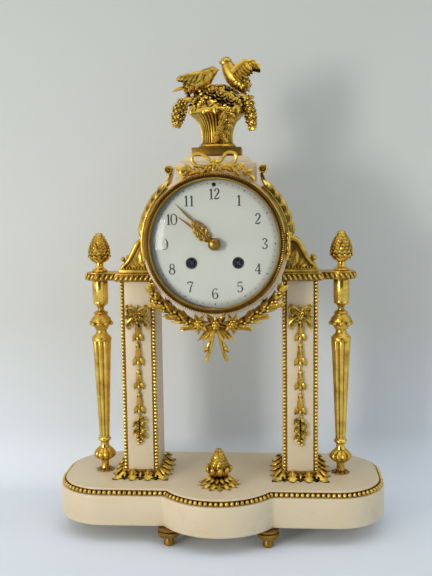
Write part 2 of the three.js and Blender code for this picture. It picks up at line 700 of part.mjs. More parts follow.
function columnFinial() {
  const waist = CONE_RADIUS * 0.34;
  const foot = CONE_PEDESTAL_HEIGHT;
  const profile = [
    [0, 0],
    [COLUMN_CAP_RADIUS, 0],
    [COLUMN_CAP_RADIUS * 0.9, foot * 0.35],
    [waist, foot * 0.7],
    [waist, foot],
    ...coneRows(CONE_RADIUS, CONE_HEIGHT, foot * 1.07),
  ];
  return turned(profile, 8).translate(columnX, COLUMN_Y, corniceTop + GAP);
}

// Leaf rosette with a pine cone in it, on the bow of the base.
function baseFinial() {
  const r = BASE_ROSETTE_RADIUS;
  const rise = BASE_ROSETTE_HEIGHT;
  const profile = [
    [0, 0],
    [r, 0, 0.14],
    [r * 0.95, rise * 0.3, 0.14],
    [r * 0.5, rise * 0.9, 0.1],
    [BASE_CONE_RADIUS * 0.45, rise],
    ...coneRows(BASE_CONE_RADIUS, BASE_CONE_HEIGHT, rise * 1.09),
  ];
  return turned(profile, 12).translate(0, BASE_FINIAL_Y, baseTop + GAP);
}

// The pieces below are drawn round the dial centre.

function drumCase() {
  const [r, bore] = [DRUM_RADIUS, drumBore];
  return turnedAboutY([
    [bore, DRUM_FRONT],
    [r - DRUM_EDGE, DRUM_FRONT],
    [r, DRUM_FRONT + DRUM_EDGE],
    [r, drumRear],
    [bore, drumRear],
    [bore, DRUM_FRONT],
  ]);
}

function drumSweep(extra) {
  return turnedAboutY([
    [0, DRUM_FRONT - 20],
    [DRUM_RADIUS + extra, DRUM_FRONT - 20],
    [DRUM_RADIUS + extra, drumRear + 20],
    [0, drumRear + 20],
  ]);
}

// Scrolled bracket on the right-hand cornice arm, against the drum.
function scrollBracket() {
  const seat = -DRUM_RISE + GAP;
  const inner = pillarX - PILLAR_WIDTH / 2 - CORNICE_OVERHANG / 2;
  const outer = pillarX + PILLAR_WIDTH / 2;
  const top = BRACKET_RISE;
  const at = (inward, up) => [outer - inward * PILLAR_WIDTH, seat + up * (top - seat)];
  const shape = new THREE.Shape();
  shape.moveTo(inner, seat);
  shape.lineTo(...at(0, 0));
  shape.lineTo(...at(0, 0.11));
  shape.bezierCurveTo(...at(0.28, 0.18), ...at(0.31, 0.43), ...at(0.41, 0.64));
  shape.bezierCurveTo(...at(0.48, 0.93), ...at(0.59, 1), DRUM_RADIUS, top);
  shape.lineTo(inner, top);
  const front = pillarFront + BRACKET_SETBACK;
  const back = PILLAR_Y + PILLAR_DEPTH / 2 - BRACKET_REAR_INSET;
  const curl = bar(CURL_RADIUS, front, back, ...at(0.15, 0.36), 8);
  const web = outline([at(0.41, 0.14), at(0.1, 0.07), at(0.14, 0.32), at(0.31, 0.43)]);
  return cut(join(plate(shape, front, back, 4), curl, plate(web, front, back)), drumSweep(GAP));
}

// Leaf band on the right of the drum, rolled into a volute beside the block.
function sideMount() {
  const mid = DRUM_RADIUS + GAP + MOUNT_THICKNESS / 2;
  const around = (degrees, r = mid) => [
    r * Math.cos((degrees * Math.PI) / 180),
    r * Math.sin((degrees * Math.PI) / 180),
  ];
  const roll = [BLOCK_WIDTH / 2 + GAP + VOLUTE_RADIUS * 1.35, blockRise - VOLUTE_RADIUS * 1.25];
  const points = [around(5), around(17), around(29), around(41), around(51), roll];
  const front = DRUM_FRONT + MOUNT_SETBACK;
  const band = plate(bandOutline(points, MOUNT_THICKNESS, 7), front, front + MOUNT_DEPTH);
  const volute = bar(VOLUTE_RADIUS, front, front + MOUNT_DEPTH, roll[0], roll[1], 10);
  return cut(join(band, volute), drumSweep(GAP));
}

function capBlock() {
  const [hx, hy] = [BLOCK_WIDTH / 2, BLOCK_DEPTH / 2];
  const body = box(-hx, hx, -hy, hy, DRUM_RADIUS / 3, blockRise);
  const cove = [];
  const steps = 4;
  for (let i = 0; i <= steps; i += 1) {
    const turn = ((i / steps) * Math.PI) / 2;
    cove.push([Math.sin(turn), 1 - Math.cos(turn)]);
  }
  const levels = cove.map(([inward, up]) => [inward * BLOCK_COVE_DEPTH, blockRise + up * BLOCK_COVE_HEIGHT]);
  const tiers = levels.slice(1).map(([inset, z], i) => {
    const [below, zBelow] = levels[i];
    const tier = new THREE.CylinderGeometry(Math.SQRT2, Math.SQRT2, z - zBelow, 4, 1);
    tier.rotateY(Math.PI / 4).rotateX(Math.PI / 2).translate(0, 0, (z + zBelow) / 2);
    const at = tier.attributes.position;
    for (let k = 0; k < at.count; k += 1) {
      const trim = at.getZ(k) > (z + zBelow) / 2 ? inset : below;
      at.setX(k, at.getX(k) * (hx - trim));
      at.setY(k, at.getY(k) * (hy - trim));
    }
    return tier;
  });
  return cut(join(body, ...tiers).translate(0, BLOCK_Y, 0), drumSweep(GAP));
}

function finialPlinth() {
  const [hx, hy] = [PLINTH_WIDTH / 2, PLINTH_DEPTH / 2];
  const bottom = blockTop + GAP;
  return box(-hx, hx, BLOCK_Y - hy, BLOCK_Y + hy, bottom, bottom + PLINTH_HEIGHT);
}

// Ribbed basket with a hollow for the flowers.
function basket() {
  const h = BASKET_HEIGHT;
  const [footR, waist, rim] = [BASKET_FOOT_RADIUS, BASKET_WAIST_RADIUS, BASKET_RIM_RADIUS];
  const profile = [
    [0, 0],
    [footR, 0],
    [footR, h * 0.09],
    [waist, h * 0.17, 0.07],
    [waist, h * 0.45, 0.07],
    [rim * 0.92, h * 0.87, 0.07],
    [rim, h],
    [rim - BASKET_WALL, h],
    [waist, h - BASKET_DISH_DEPTH],
    [0, h - BASKET_DISH_DEPTH],
  ];
  return turned(profile, 2 * BASKET_RIBS).translate(0, BLOCK_Y, plinthTop + GAP);
}

// Two doves on the flowers: x from the basket's middle and z from the perch, as shares of a dove's length.
function doveBall(rx, ry, rz, x, y, z, tilt, grow) {
  const d = DOVE_LENGTH;
  return ball(rx * d + grow, ry * d + grow, rz * d + grow, x * d, y * d, perch + z * d, tilt);
}

function doveLeaf(x0, z0, x1, z1, width, thickness, y, grow) {
  const d = DOVE_LENGTH;
  const [low, high] = [perch + z0 * d, perch + z1 * d];
  return leaf(x0 * d, low, x1 * d, high, width * d + 2 * grow, thickness * d + 2 * grow, y * d);
}

function doveLeft(grow = 0) {
  const y = -0.075;
  const wings = [y - 0.12, y + 0.12];
  return join(
    doveBall(0.325, 0.15, 0.155, -0.4, y, 0, 0.5, grow),
    doveBall(0.11, 0.105, 0.11, -0.09, y, 0.225, 0, grow),
    doveLeaf(-0.125, 0.24, 0.06, 0.24, 0.06, 0.06, y, grow),
    doveLeaf(-0.45, -0.025, -0.925, -0.225, 0.225, 0.1, y, grow),
    doveLeaf(-0.33, -0.05, -0.3, -0.3, 0.1, 0.175, y, grow),
    ...wings.map((side) => doveLeaf(-0.075, 0.125, -0.8, 0.125, 0.25, 0.1, side, grow)),
  );
}

function doveRight(grow = 0) {
  const y = 0;
  const wings = [y - 0.115, y + 0.115];
  return join(
    doveBall(0.3, 0.15, 0.16, 0.39, y, 0.085, -0.95, grow),
    doveBall(0.11, 0.105, 0.135, 0.21, y, 0.4, 0, grow),
    doveLeaf(0.225, 0.395, 0.055, 0.395, 0.06, 0.06, y, grow),
    doveLeaf(0.45, 0, 0.675, -0.215, 0.2, 0.1, y, grow),
    doveLeaf(0.35, 0.05, 0.3, -0.225, 0.1, 0.175, y, grow),
    ...wings.map((side) => doveLeaf(0.25, 0.1, 0.875, 0.375, 0.325, 0.1, side, grow)),
  );
}

// Flowers heaped in the basket, with a bunch hanging over each side.
function bouquet() {
  const rim = BASKET_RIM_RADIUS;
  const pieces = [ball(rim * 0.96, rim * 0.75, MOUND_HEIGHT, 0, 0, rim * 0.04, 0, 10, 5)];
  const flowers = 5;
  for (let i = 0; i < flowers; i += 1) {
    const turn = ((i + 0.25) / flowers) * 2 * Math.PI;
    const [x, y] = [Math.cos(turn) * rim * 0.67, Math.sin(turn) * rim * 0.5];
    const rise = MOUND_HEIGHT * (0.45 + 0.08 * (i % 2));
    pieces.push(new THREE.IcosahedronGeometry(FLOWER_RADIUS).translate(x, y, rise));
  }
  const front = new THREE.IcosahedronGeometry(FLOWER_RADIUS);
  pieces.push(front.translate(rim * 0.08, -rim * 0.33, MOUND_HEIGHT * 0.79));
  const bunches = [[-1.29, -0.25, 0.22], [1.15, -0.37, 0.17]];
  bunches.forEach(([out, up, width]) => {
    const side = Math.sign(out);
    const y = -rim * 0.17;
    const stem = [side * rim * 0.58, MOUND_HEIGHT * 0.47, rim * (out + side * 0.04), rim * up];
    pieces.push(leaf(...stem, rim * 0.33, rim * 0.29, y));
    pieces.push(ball(rim * width, rim * width, rim * 0.375, rim * out, y, rim * up));
  });
  const under = -BASKET_HEIGHT;
  const bowl = turned(
    [
      [0, under],
      [rim + GAP, under],
      [rim + GAP, GAP],
      [rim - BASKET_WALL - GAP, GAP],
      [BASKET_WAIST_RADIUS - GAP, GAP - BASKET_DISH_DEPTH],
      [0, GAP - BASKET_DISH_DEPTH],
    ],
    2 * BASKET_RIBS,
  );
  return cut(join(...pieces), bowl, doveLeft(GAP), doveRight(GAP));
}

// Ribbon bow standing on the drum's front edge over the dial.
function ribbonBow() {
  const back = DRUM_FRONT - GAP;
  const thickness = back - bezelBack - GAP;
  const y = back - thickness / 2;
  const edge = DRUM_RADIUS + BOW_RIBBON * 0.4;
  const knot = edge + BOW_RIBBON;
  const half = BOW_RIBBON;
  const tie = box(-half, half, y - thickness / 2, back, seatRingRadius + GAP, knot + BOW_RIBBON * 0.8);
  const pieces = [tie];
  [-1, 1].forEach((side) => {
    const upper = [[0.06, 0.16], [0.48, 0.94], [0.91, 1]];
    const lower = [[1, 0.23], [0.55, -0.16], [0, -0.16]];
    const loop = [...upper, ...lower].map(([out, up]) => [
      side * out * BOW_LOOP_LENGTH,
      y,
      knot + up * BOW_LOOP_HEIGHT,
    ]);
    pieces.push(rod(loop, thickness, BOW_RIBBON, 7));
    const tail = [0.04, 0.35, 0.65, 1].map((share) => {
      const x = share * BOW_TAIL_REACH;
      return [side * x, y, Math.sqrt(edge ** 2 - x ** 2)];
    });
    pieces.push(rod(tail, thickness, BOW_RIBBON, 4));
  });
  return join(...pieces);
}

// Laurel garland wrapped round the lower front edge of the drum, tied below with a bow and two stalks.
function laurelSwag() {
  const inner = DRUM_RADIUS + 2 * GAP;
  const front = DRUM_FRONT - 1;
  const around = (degrees, r) => {
    const turn = (degrees * Math.PI) / 180;
    return [r * Math.cos(turn), r * Math.sin(turn)];
  };
  const lowest = 270;
  const step = SWAG_HALF_SPAN / SWAG_LEAVES;
  const right = [];
  const under = [];
  for (let i = 0; i <= SWAG_LEAVES; i += 1) {
    const swell = Math.sin((Math.PI * (i + 1)) / (SWAG_LEAVES + 2));
    right.push(around(lowest + i * step, inner + SWAG_BAND));
    const leafTip = inner + SWAG_BAND * 1.6 + SWAG_SWELL * swell;
    if (i < SWAG_LEAVES) right.push(around(lowest + (i + 0.25) * step, leafTip));
    under.push(around(lowest + (SWAG_LEAVES - i) * step, inner));
  }
  const left = ([x, z]) => [-x, z];
  const back = [...under, ...under.slice(0, -1).map(left).reverse()];
  const edge = [...right.slice(1).map(left).reverse(), ...right];
  const pieces = [plate(outline([...edge, ...back]), front, front + SWAG_DEPTH)];
  const y = front + SWAG_DEPTH / 2;
  const [k, l, stalkEnd] = [SWAG_KNOT_RADIUS, SWAG_LEAF_LENGTH, SWAG_STALK_LENGTH];
  const knot = -(inner + k * 1.25);
  pieces.push(ball(k, k * 0.75, k * 0.88, 0, y, knot));
  [-1, 1].forEach((side) => {
    pieces.push(leaf(side * l * 0.06, knot, side * l * 0.91, knot - l * 0.36, l * 0.36, l * 0.24, y));
    pieces.push(leaf(side * l * 0.12, knot - l * 0.12, side * l, knot - l * 0.82, l * 0.3, l * 0.22, y));
    const stalk = [[0.035, 0], [0.21, 0.41], [0.29, 1]].map(([out, down]) => [
      side * out * stalkEnd,
      y,
      knot - down * stalkEnd,
    ]);
    pieces.push(rod(stalk, k / 2, k / 2, 3));
  });
  return join(...pieces);
}

// Two ears and a pin of a door hinge, beside a ring; `into` points from the door to the ring.
function hingeEars(x, y, ringEdge, ringFace, into) {
  const ears = [-1, 1].map((side) => {
    const z0 = side * (HINGE_KNUCKLE_LENGTH / 2 + RUN_GAP);
    const z1 = z0 + side * HINGE_EAR_LENGTH;
    const [low, high] = [Math.min(z0, z1), Math.max(z0, z1)];
    const [y0, y1] = [Math.min(y, ringFace + into), Math.max(y, ringFace + into)];
    const [f0, f1] = [Math.min(ringFace, ringFace + into), Math.max(ringFace, ringFace + into)];
    return join(
      post(HINGE_RADIUS, low, high, x, y, 6),
      box(ringEdge, x + HINGE_RADIUS, y0, y1, low, high),
      box(ringEdge - 2 * HINGE_RADIUS, x, f0, f1, low, high),
    );
  });
  const end = HINGE_KNUCKLE_LENGTH / 2 + RUN_GAP + HINGE_EAR_LENGTH;
  return join(...ears, post(HINGE_PIN_RADIUS, -end, end, x, y));
}

const bezelHinge = [bezelRadius + HINGE_RADIUS + RUN_GAP * 3, bezelBack - HINGE_RADIUS];

// Brass ring let into the front of the drum: it carries the dial, the movement and the bezel's hinge.
function seatRing() {
  const spigot = drumBore - GAP;
  const ledge = frontPlateY - GAP;
  const flange = plateRadius - SEAT_FLANGE_REACH;
  const ring = turnedAboutY([
    [spigot - SEAT_WALL, seatFront],
    [seatRingRadius, seatFront],
    [seatRingRadius, DRUM_FRONT - GAP],
    [spigot, DRUM_FRONT - GAP],
    [spigot, ledge],
    [flange, ledge],
    [flange, ledge - SEAT_WALL],
    [spigot - SEAT_WALL, seatFront],
  ]);
  const ears = hingeEars(bezelHinge[0], bezelHinge[1], bezelRadius + RUN_GAP, seatFront, SEAT_RING_THICKNESS);
  const passage = bar(REGULATOR_RADIUS + 2 * RUN_GAP, seatFront - 1, ledge + 1, 0, regulatorRise);
  return cut(join(ring, ears), passage);
}

function bezelRing() {
  const wall = dialRadius + 2 * GAP;
  const ring = turnedAboutY([
    [wall, bezelBack],
    [bezelRadius, bezelBack],
    [bezelRadius, bezelFront + BEZEL_LIP],
    [bezelRadius - 1, bezelFront],
    [sightRadius + 0.6, bezelFront],
    [sightRadius, lipBack],
    [wall, lipBack],
    [wall, bezelBack],
  ]);
  const half = HINGE_KNUCKLE_LENGTH / 2;
  const [x, y] = bezelHinge;
  const knuckle = post(HINGE_RADIUS, -half, half, x, y);
  const web = box(bezelRadius - 1.5, x, y - 1.2, y + 1.2, -half, half);
  const bore = post(HINGE_PIN_RADIUS + RUN_GAP, -half - 1, half + 1, x, y);
  return cut(join(ring, knuckle, web), bore);
}

function bezelGlass() {
  const edge = dialRadius;
  const rim = sightRadius - 2 * GAP;
  const back = glassFront + GLASS_THICKNESS;
  const dome = (from, face, rise) =>
    Array.from({ length: 3 }, (_, i) => {
      const r = from * (1 - i / 2);
      return [r, face - rise * (1 - (r / from) ** 2)];
    });
  return turnedAboutY([
    ...dome(rim - GLASS_THICKNESS / 2, back, GLASS_RISE).reverse(),
    [edge, back],
    [edge, glassFront],
    ...dome(rim, glassFront, GLASS_RISE),
  ]);
}

// Enamel dial with its winding, regulating and centre holes.
function dial() {
  const disc = circle(dialRadius, ROUND_SEGMENTS);
  disc.holes.push(circle(HOUR_PIPE_RADIUS + 2 * GAP, 10, 0, 0, THREE.Path));
  [-1, 1].forEach((side) => {
    disc.holes.push(circle(WINDING_HOLE_RADIUS, 10, side * windingX, -WINDING_DROP, THREE.Path));
  });
  disc.holes.push(circle(REGULATOR_RADIUS + 2 * GAP, 8, 0, regulatorRise, THREE.Path));
  return plate(disc, dialFront, dialFront + DIAL_THICKNESS);
}

// A pierced hand pointing to twelve: a stem from the boss, a heart with an eye and a pointed tip.
function handOutline(length, width, boss) {
  const shape = new THREE.Shape();
  const heart = length * 0.55;
  const [stem, neck, tip] = [width * 0.24, width * 0.2, width * 0.18];
  shape.moveTo(-stem, boss * 0.6);
  shape.quadraticCurveTo(-width * 0.5, length * 0.28, -neck, length * 0.36);
  shape.quadraticCurveTo(-width, heart * 0.9, -width * 0.8, heart * 1.15);
  shape.quadraticCurveTo(-stem, heart * 1.2, -tip, length * 0.78);
  shape.lineTo(0, length);
  shape.lineTo(tip, length * 0.78);
  shape.quadraticCurveTo(stem, heart * 1.2, width * 0.8, heart * 1.15);
  shape.quadraticCurveTo(width, heart * 0.9, neck, length * 0.36);
  shape.quadraticCurveTo(width * 0.5, length * 0.28, stem, boss * 0.6);
  shape.holes.push(circle(width * 0.43, 6, 0, heart * 1.03, THREE.Path));
  return shape;
}

function turnToHour(geometry, degrees) {
  return geometry.rotateY((degrees * Math.PI) / 180);
}

function hourHand() {
  const back = hourHandFront + HAND_THICKNESS;
  const shape = handOutline(hourHandLength, HOUR_HAND_WIDTH, HAND_BOSS_RADIUS);
  const blade = plate(shape, hourHandFront, back, 3);
  const bore = CENTRE_ARBOR_RADIUS + RUN_GAP;
  const wheelBack = frontPlateY - 3.5;
  const pipe = turnedAboutY(
    [
      [bore, hourHandFront],
      [HAND_BOSS_RADIUS * 0.9, hourHandFront],
      [HAND_BOSS_RADIUS * 0.9, back],
      [HOUR_PIPE_RADIUS, back],
      [HOUR_PIPE_RADIUS, wheelBack - WHEEL_THICKNESS],
      [HOUR_WHEEL_RADIUS, wheelBack - WHEEL_THICKNESS],
      [HOUR_WHEEL_RADIUS, wheelBack],
      [bore, wheelBack],
      [bore, hourHandFront],
    ],
    8,
  );
  return turnToHour(join(blade, pipe), HOUR_HAND_ANGLE);
}

function minuteHand() {
  const back = minuteHandFront + HAND_THICKNESS;
  const shape = handOutline(minuteHandLength, MINUTE_HAND_WIDTH, HAND_BOSS_RADIUS);
  const blade = plate(shape, minuteHandFront, back, 3);
  const front = back - HAND_BOSS_HEIGHT;
  const bore = CENTRE_ARBOR_RADIUS + RUN_GAP;
  const r = HAND_BOSS_RADIUS;
  const boss = turnedAboutY(
    [
      [0, front],
      [r * 0.5, front + 0.7],
      [r * 0.87, front + r * 0.5],
      [r, front + r],
      [r * 0.8, back],
      [bore, back],
      [bore, back - 2],
      [0, back - 2],
    ],
    10,
  );
  return turnToHour(join(blade, boss), MINUTE_HAND_ANGLE);
}

// Places of the arbors, as [x, z] from the dial centre.
const goingBarrelAt = [windingX, -WINDING_DROP];
const strikeBarrelAt = [-windingX, -WINDING_DROP];
const centreAt = [0, 0];
const secondPinionRadius = (BARREL_PITCH_RADIUS * SECOND_LEAVES) / BARREL_TEETH;
const centrePinionRadius = (SECOND_PITCH_RADIUS * CENTRE_LEAVES) / SECOND_TEETH;
const thirdPinionRadius = (CENTRE_PITCH_RADIUS * THIRD_LEAVES) / CENTRE_TEETH;
const escapePinionRadius = (THIRD_PITCH_RADIUS * ESCAPE_LEAVES) / THIRD_TEETH;
const secondAt = crossing(
  centreAt,
  SECOND_PITCH_RADIUS + centrePinionRadius,
  goingBarrelAt,
  BARREL_PITCH_RADIUS + secondPinionRadius,
);
const palletAt = [0, SUSPENSION_RISE];
const escapeAt = [0, SUSPENSION_RISE - ESCAPE_RADIUS / Math.cos((PALLET_SPAN * Math.PI) / 180)];
const thirdAt = crossing(
  centreAt,
  CENTRE_PITCH_RADIUS + thirdPinionRadius,
  escapeAt,
  THIRD_PITCH_RADIUS + escapePinionRadius,
);
const hammerAt = [HAMMER_X, HAMMER_RISE];

// Levels of the wheels between the plates.
const barrelTeethY = trainFront + 1.5;
const secondWheelY = barrelTeethY + PINION_LENGTH + barrelLength + 2.5;
const centreWheelY = secondWheelY + 3.5;
const thirdWheelY = centreWheelY + 3.5;
const escapeWheelY = trainFront + PLATE_SPACING / 2;
const arborEnd = plateRear - GAP;

// The direction from one arbor to another, as an angle in the X-Z plane.
function towards(from, to) {
  return Math.atan2(to[1] - from[1], to[0] - from[0]);
}

// Teeth of a wheel, one of them on the line to the pinion; and leaves of a pinion, a gap on that line.
function wheelTeeth(teeth, pitchRadius, y0, y1, turn) {
  const pitch = (2 * pitchRadius) / teeth;
  return plate(toothed(teeth, pitchRadius + TOOTH_RISE * pitch, pitchRadius - 1.3 * pitch, turn), y0, y1);
}

function wheel(teeth, pitchRadius, y, turn) {
  return wheelTeeth(teeth, pitchRadius, y, y + WHEEL_THICKNESS, turn);
}

function pinion(leaves, pitchRadius, y, turn) {
  const pitch = (2 * pitchRadius) / leaves;
  const gap = turn + Math.PI / leaves;
  const shape = toothed(leaves, pitchRadius + 0.5 * pitch, pitchRadius - 1.2 * pitch, gap);
  return plate(shape, y, y + PINION_LENGTH);
}

function movementPlate(y) {
  const disc = circle(plateRadius, 24);
  const sides = 6;
  const hole = (radius, [x, z]) => {
    const corner = (radius + RUN_GAP) / Math.cos(Math.PI / sides);
    disc.holes.push(circle(corner, sides, x, z, THREE.Path));
  };
  hole(WINDING_ARBOR_RADIUS, goingBarrelAt);
  hole(WINDING_ARBOR_RADIUS, strikeBarrelAt);
  hole(CENTRE_ARBOR_RADIUS, centreAt);
  hole(SECOND_ARBOR_RADIUS, secondAt);
  hole(FINE_ARBOR_RADIUS, thirdAt);
  hole(FINE_ARBOR_RADIUS, escapeAt);
  hole(PALLET_ARBOR_RADIUS, palletAt);
  hole(SECOND_ARBOR_RADIUS, hammerAt);
  return plate(disc, y, y + PLATE_THICKNESS);
}

function backPlate() {
  const angles = [50, 130, 270];
  const pillars = angles.map((degrees) => {
    const turn = (degrees * Math.PI) / 180;
    const reach = plateRadius - PLATE_PILLAR_INSET;
    const [x, z] = [reach * Math.cos(turn), reach * Math.sin(turn)];
    return bar(PLATE_PILLAR_RADIUS, trainFront + GAP, backPlateY + PLATE_THICKNESS / 2, x, z, 6);
  });
  return join(movementPlate(backPlateY), ...pillars);
}

function barrel(at, turn) {
  const toothEnd = barrelTeethY + PINION_LENGTH;
  const teeth = wheelTeeth(BARREL_TEETH, BARREL_PITCH_RADIUS, barrelTeethY, toothEnd, turn);
  const body = bar(BARREL_PITCH_RADIUS - BARREL_RIM, toothEnd - 1, toothEnd + barrelLength, 0, 0, 16);
  const bore = bar(WINDING_ARBOR_RADIUS + RUN_GAP, barrelTeethY - 1, toothEnd + barrelLength + 1);
  return cut(join(teeth, body), bore).translate(at[0], 0, at[1]);
}

// Winding arbor: a square for the key behind the dial's hole, a ratchet wheel and a round shaft.
function windingArbor(at) {
  const side = WINDING_ARBOR_RADIUS * 0.72;
  const shoulder = frontPlateY - 3;
  const square = box(-side, side, dialFront + 0.8, shoulder + 1, -side, side);
  const shaft = bar(WINDING_ARBOR_RADIUS, shoulder, arborEnd);
  const ratchet = plate(
    toothed(RATCHET_TEETH, RATCHET_RADIUS, RATCHET_RADIUS - 1.2, 0, 0.8),
    frontPlateY - GAP - WHEEL_THICKNESS,
    frontPlateY - GAP,
  );
  return join(square, shaft, ratchet).translate(at[0], 0, at[1]);
}

function secondWheel() {
  const toBarrel = towards(secondAt, goingBarrelAt);
  const toCentre = towards(secondAt, centreAt);
  return join(
    bar(SECOND_ARBOR_RADIUS, frontPlateY + GAP, arborEnd, 0, 0, 6),
    pinion(SECOND_LEAVES, secondPinionRadius, barrelTeethY, toBarrel),
    wheel(SECOND_TEETH, SECOND_PITCH_RADIUS, secondWheelY, toCentre),
  ).translate(secondAt[0], 0, secondAt[1]);
}

function centreWheel() {
  const front = minuteHandFront + HAND_THICKNESS - 2 + GAP;
  return join(
    bar(CENTRE_ARBOR_RADIUS, front, arborEnd, 0, 0, 6),
    pinion(CENTRE_LEAVES, centrePinionRadius, secondWheelY - 0.6, towards(centreAt, secondAt)),
    wheel(CENTRE_TEETH, CENTRE_PITCH_RADIUS, centreWheelY, towards(centreAt, thirdAt)),
  );
}

function thirdWheel() {
  return join(
    bar(FINE_ARBOR_RADIUS, frontPlateY + GAP, arborEnd, 0, 0, 6),
    pinion(THIRD_LEAVES, thirdPinionRadius, centreWheelY - 0.6, towards(thirdAt, centreAt)),
    wheel(THIRD_TEETH, THIRD_PITCH_RADIUS, thirdWheelY, towards(thirdAt, escapeAt)),
  ).translate(thirdAt[0], 0, thirdAt[1]);
}

function escapeWheel() {
  const blade = toothed(ESCAPE_TEETH, ESCAPE_RADIUS, ESCAPE_RADIUS - 1.3, 0, 0.5);
  return join(
    bar(FINE_ARBOR_RADIUS, frontPlateY + GAP, arborEnd, 0, 0, 6),
    pinion(ESCAPE_LEAVES, escapePinionRadius, thirdWheelY - 0.6, towards(escapeAt, thirdAt)),
    plate(blade, escapeWheelY, escapeWheelY + WHEEL_THICKNESS),
  ).translate(escapeAt[0], 0, escapeAt[1]);
}

// Anchor with its two pallets over the escape wheel, its arbor, and the crutch behind the back plate.
function anchor() {
  const reach = ESCAPE_RADIUS + PALLET_CLEARANCE;
  const span = (PALLET_SPAN * Math.PI) / 180;
  const tip = [reach * Math.sin(span), escapeAt[1] + reach * Math.cos(span)];
  const [px, pz] = tip;
  const [ax, az] = palletAt;
  const shape = outline([
    [-px, pz],
    [-px + 1.2, pz + 0.7],
    [-px * 0.55, az - 1.6],
    [px * 0.55, az - 1.6],
    [px - 1.2, pz + 0.7],
    [px, pz],
    [px + 0.6, pz + 2],
    [px * 0.7, az + 1.4],
    [-px * 0.7, az + 1.4],
    [-px - 0.6, pz + 2],
  ]);
  const crutchY = plateRear + 1.2;
  const forkZ = az - 22;
  const prong = [-1, 1].map((side) => {
    const [x0, x1] = [side * 1.4, side * 2.4].sort((a, b) => a - b);
    return box(x0, x1, crutchY, pendulumY + 1, forkZ - 1.5, forkZ + 1.5);
  });
  return join(
    bar(PALLET_ARBOR_RADIUS, frontPlateY + GAP, crutchY + 1.2, ax, az, 6),
    plate(shape, escapeWheelY, escapeWheelY + WHEEL_THICKNESS),
    box(-1, 1, crutchY, crutchY + 1.2, forkZ, az),
    box(-2.4, 2.4, crutchY, crutchY + 1.2, forkZ - 1.5, forkZ + 1.5),
    ...prong,
  );
}

// Pendulum hung from the suspension spring: a hook, a flat rod, a lens-shaped bob and a rating nut.
function pendulum() {
  const top = SUSPENSION_RISE - GAP / 2;
  const nutZ = bobRise - BOB_RADIUS - RATING_NUT_DROP;
  const hook = PENDULUM_HOOK_WIDTH / 2;
  const rodHalf = PENDULUM_ROD_WIDTH / 2;
  const rodDepth = rodHalf * 0.8;
  const t = BOB_THICKNESS / 2;
  const front = [[0, -t], [BOB_RADIUS * 0.6, -t * 0.8], [BOB_RADIUS, -0.5]];
  const rear = [[BOB_RADIUS, 0.5], [BOB_RADIUS * 0.6, t * 0.8], [0, t]];
  const bob = turnedAboutY([...front, ...rear], 12);
  return join(
    box(-hook, hook, pendulumY - hook / 3, pendulumY + hook / 3, top - hook * 1.6, top),
    box(-rodHalf, rodHalf, pendulumY - rodDepth, pendulumY + rodDepth, nutZ + rodDepth, top - hook),
    bob.translate(0, pendulumY, bobRise),
    post(PENDULUM_ROD_WIDTH, nutZ, nutZ + RATING_NUT_DROP * 0.7, 0, pendulumY),
  );
}

// Suspension cock on the back plate, with the upper end of the spring.
function suspension() {
  const rise = regulatorRise + REGULATOR_RADIUS + 1;
  const foot = SUSPENSION_RISE + 3;
  const block = box(-5, 5, plateRear + GAP, pendulumY + 3, foot, rise);
  const spring = box(-2, 2, pendulumY - 0.3, pendulumY + 0.3, SUSPENSION_RISE + GAP / 2, foot + 1);
  const socket = bar(REGULATOR_RADIUS + RUN_GAP, plateRear - 1, plateRear + 3.5, 0, regulatorRise);
  return cut(join(block, spring), socket);
}

// Regulating arbor from the small hole at twelve, over the plates, to the suspension.
function regulator() {
  const side = REGULATOR_RADIUS * 0.66;
  return join(
    box(-side, side, dialFront + 0.4, dialFront + 6, regulatorRise - side, regulatorRise + side),
    bar(REGULATOR_RADIUS, dialFront + 4, plateRear + 3.5 - GAP, 0, regulatorRise),
  );
}

// Bell on its post behind the back plate.
function bell() {
  const back = bellFront + BELL_DEPTH;
  const [r, w] = [BELL_RADIUS, BELL_WALL];
  const cup = turnedAboutY(
    [
      [0, back - w],
      [r * 0.6, back - w - 0.6],
      [r * 0.86, back - BELL_DEPTH * 0.5],
      [r - w, bellFront],
      [r, bellFront],
      [r * 0.86 + w, back - BELL_DEPTH * 0.45],
      [r * 0.6, back - 0.4],
      [0, back],
    ],
    12,
  );
  const stem = bar(1.6, plateRear + GAP, back + 1.6);
  const nut = bar(3, back - 0.5, back + 1.6, 0, 0, 6);
  return join(cup, stem, nut).translate(BELL_X, 0, -BELL_DROP);
}

// Hammer on its arbor, with the head beside the bell's rim.
function hammer() {
  const rimX = BELL_X - BELL_RADIUS;
  const headX = rimX - 1.1;
  const y = bellFront + HAMMER_HEAD_RADIUS + 0.4;
  const [hx, hz] = hammerAt;
  const upper = [[hx, y, hz + 1], [hx, y, hz - 6]];
  const lower = [[headX - 2.6, y, 6 - BELL_DROP], [headX - 2.6, y, -BELL_DROP]];
  const head = bar(HAMMER_HEAD_RADIUS, -2.6, 2.6).rotateZ(Math.PI / 2);
  return join(
    bar(SECOND_ARBOR_RADIUS, frontPlateY + GAP, y + 1, hx, hz, 6),
    rod([...upper, ...lower], 2, 2, 5),
    head.translate(headX - 2.6, y, -BELL_DROP),
  );
}

const rearDoorY = drumRear + GAP + REAR_RING_THICKNESS + GAP;
const rearHinge = [rearDoorRadius + HINGE_RADIUS + RUN_GAP * 3, rearDoorY + HINGE_RADIUS];

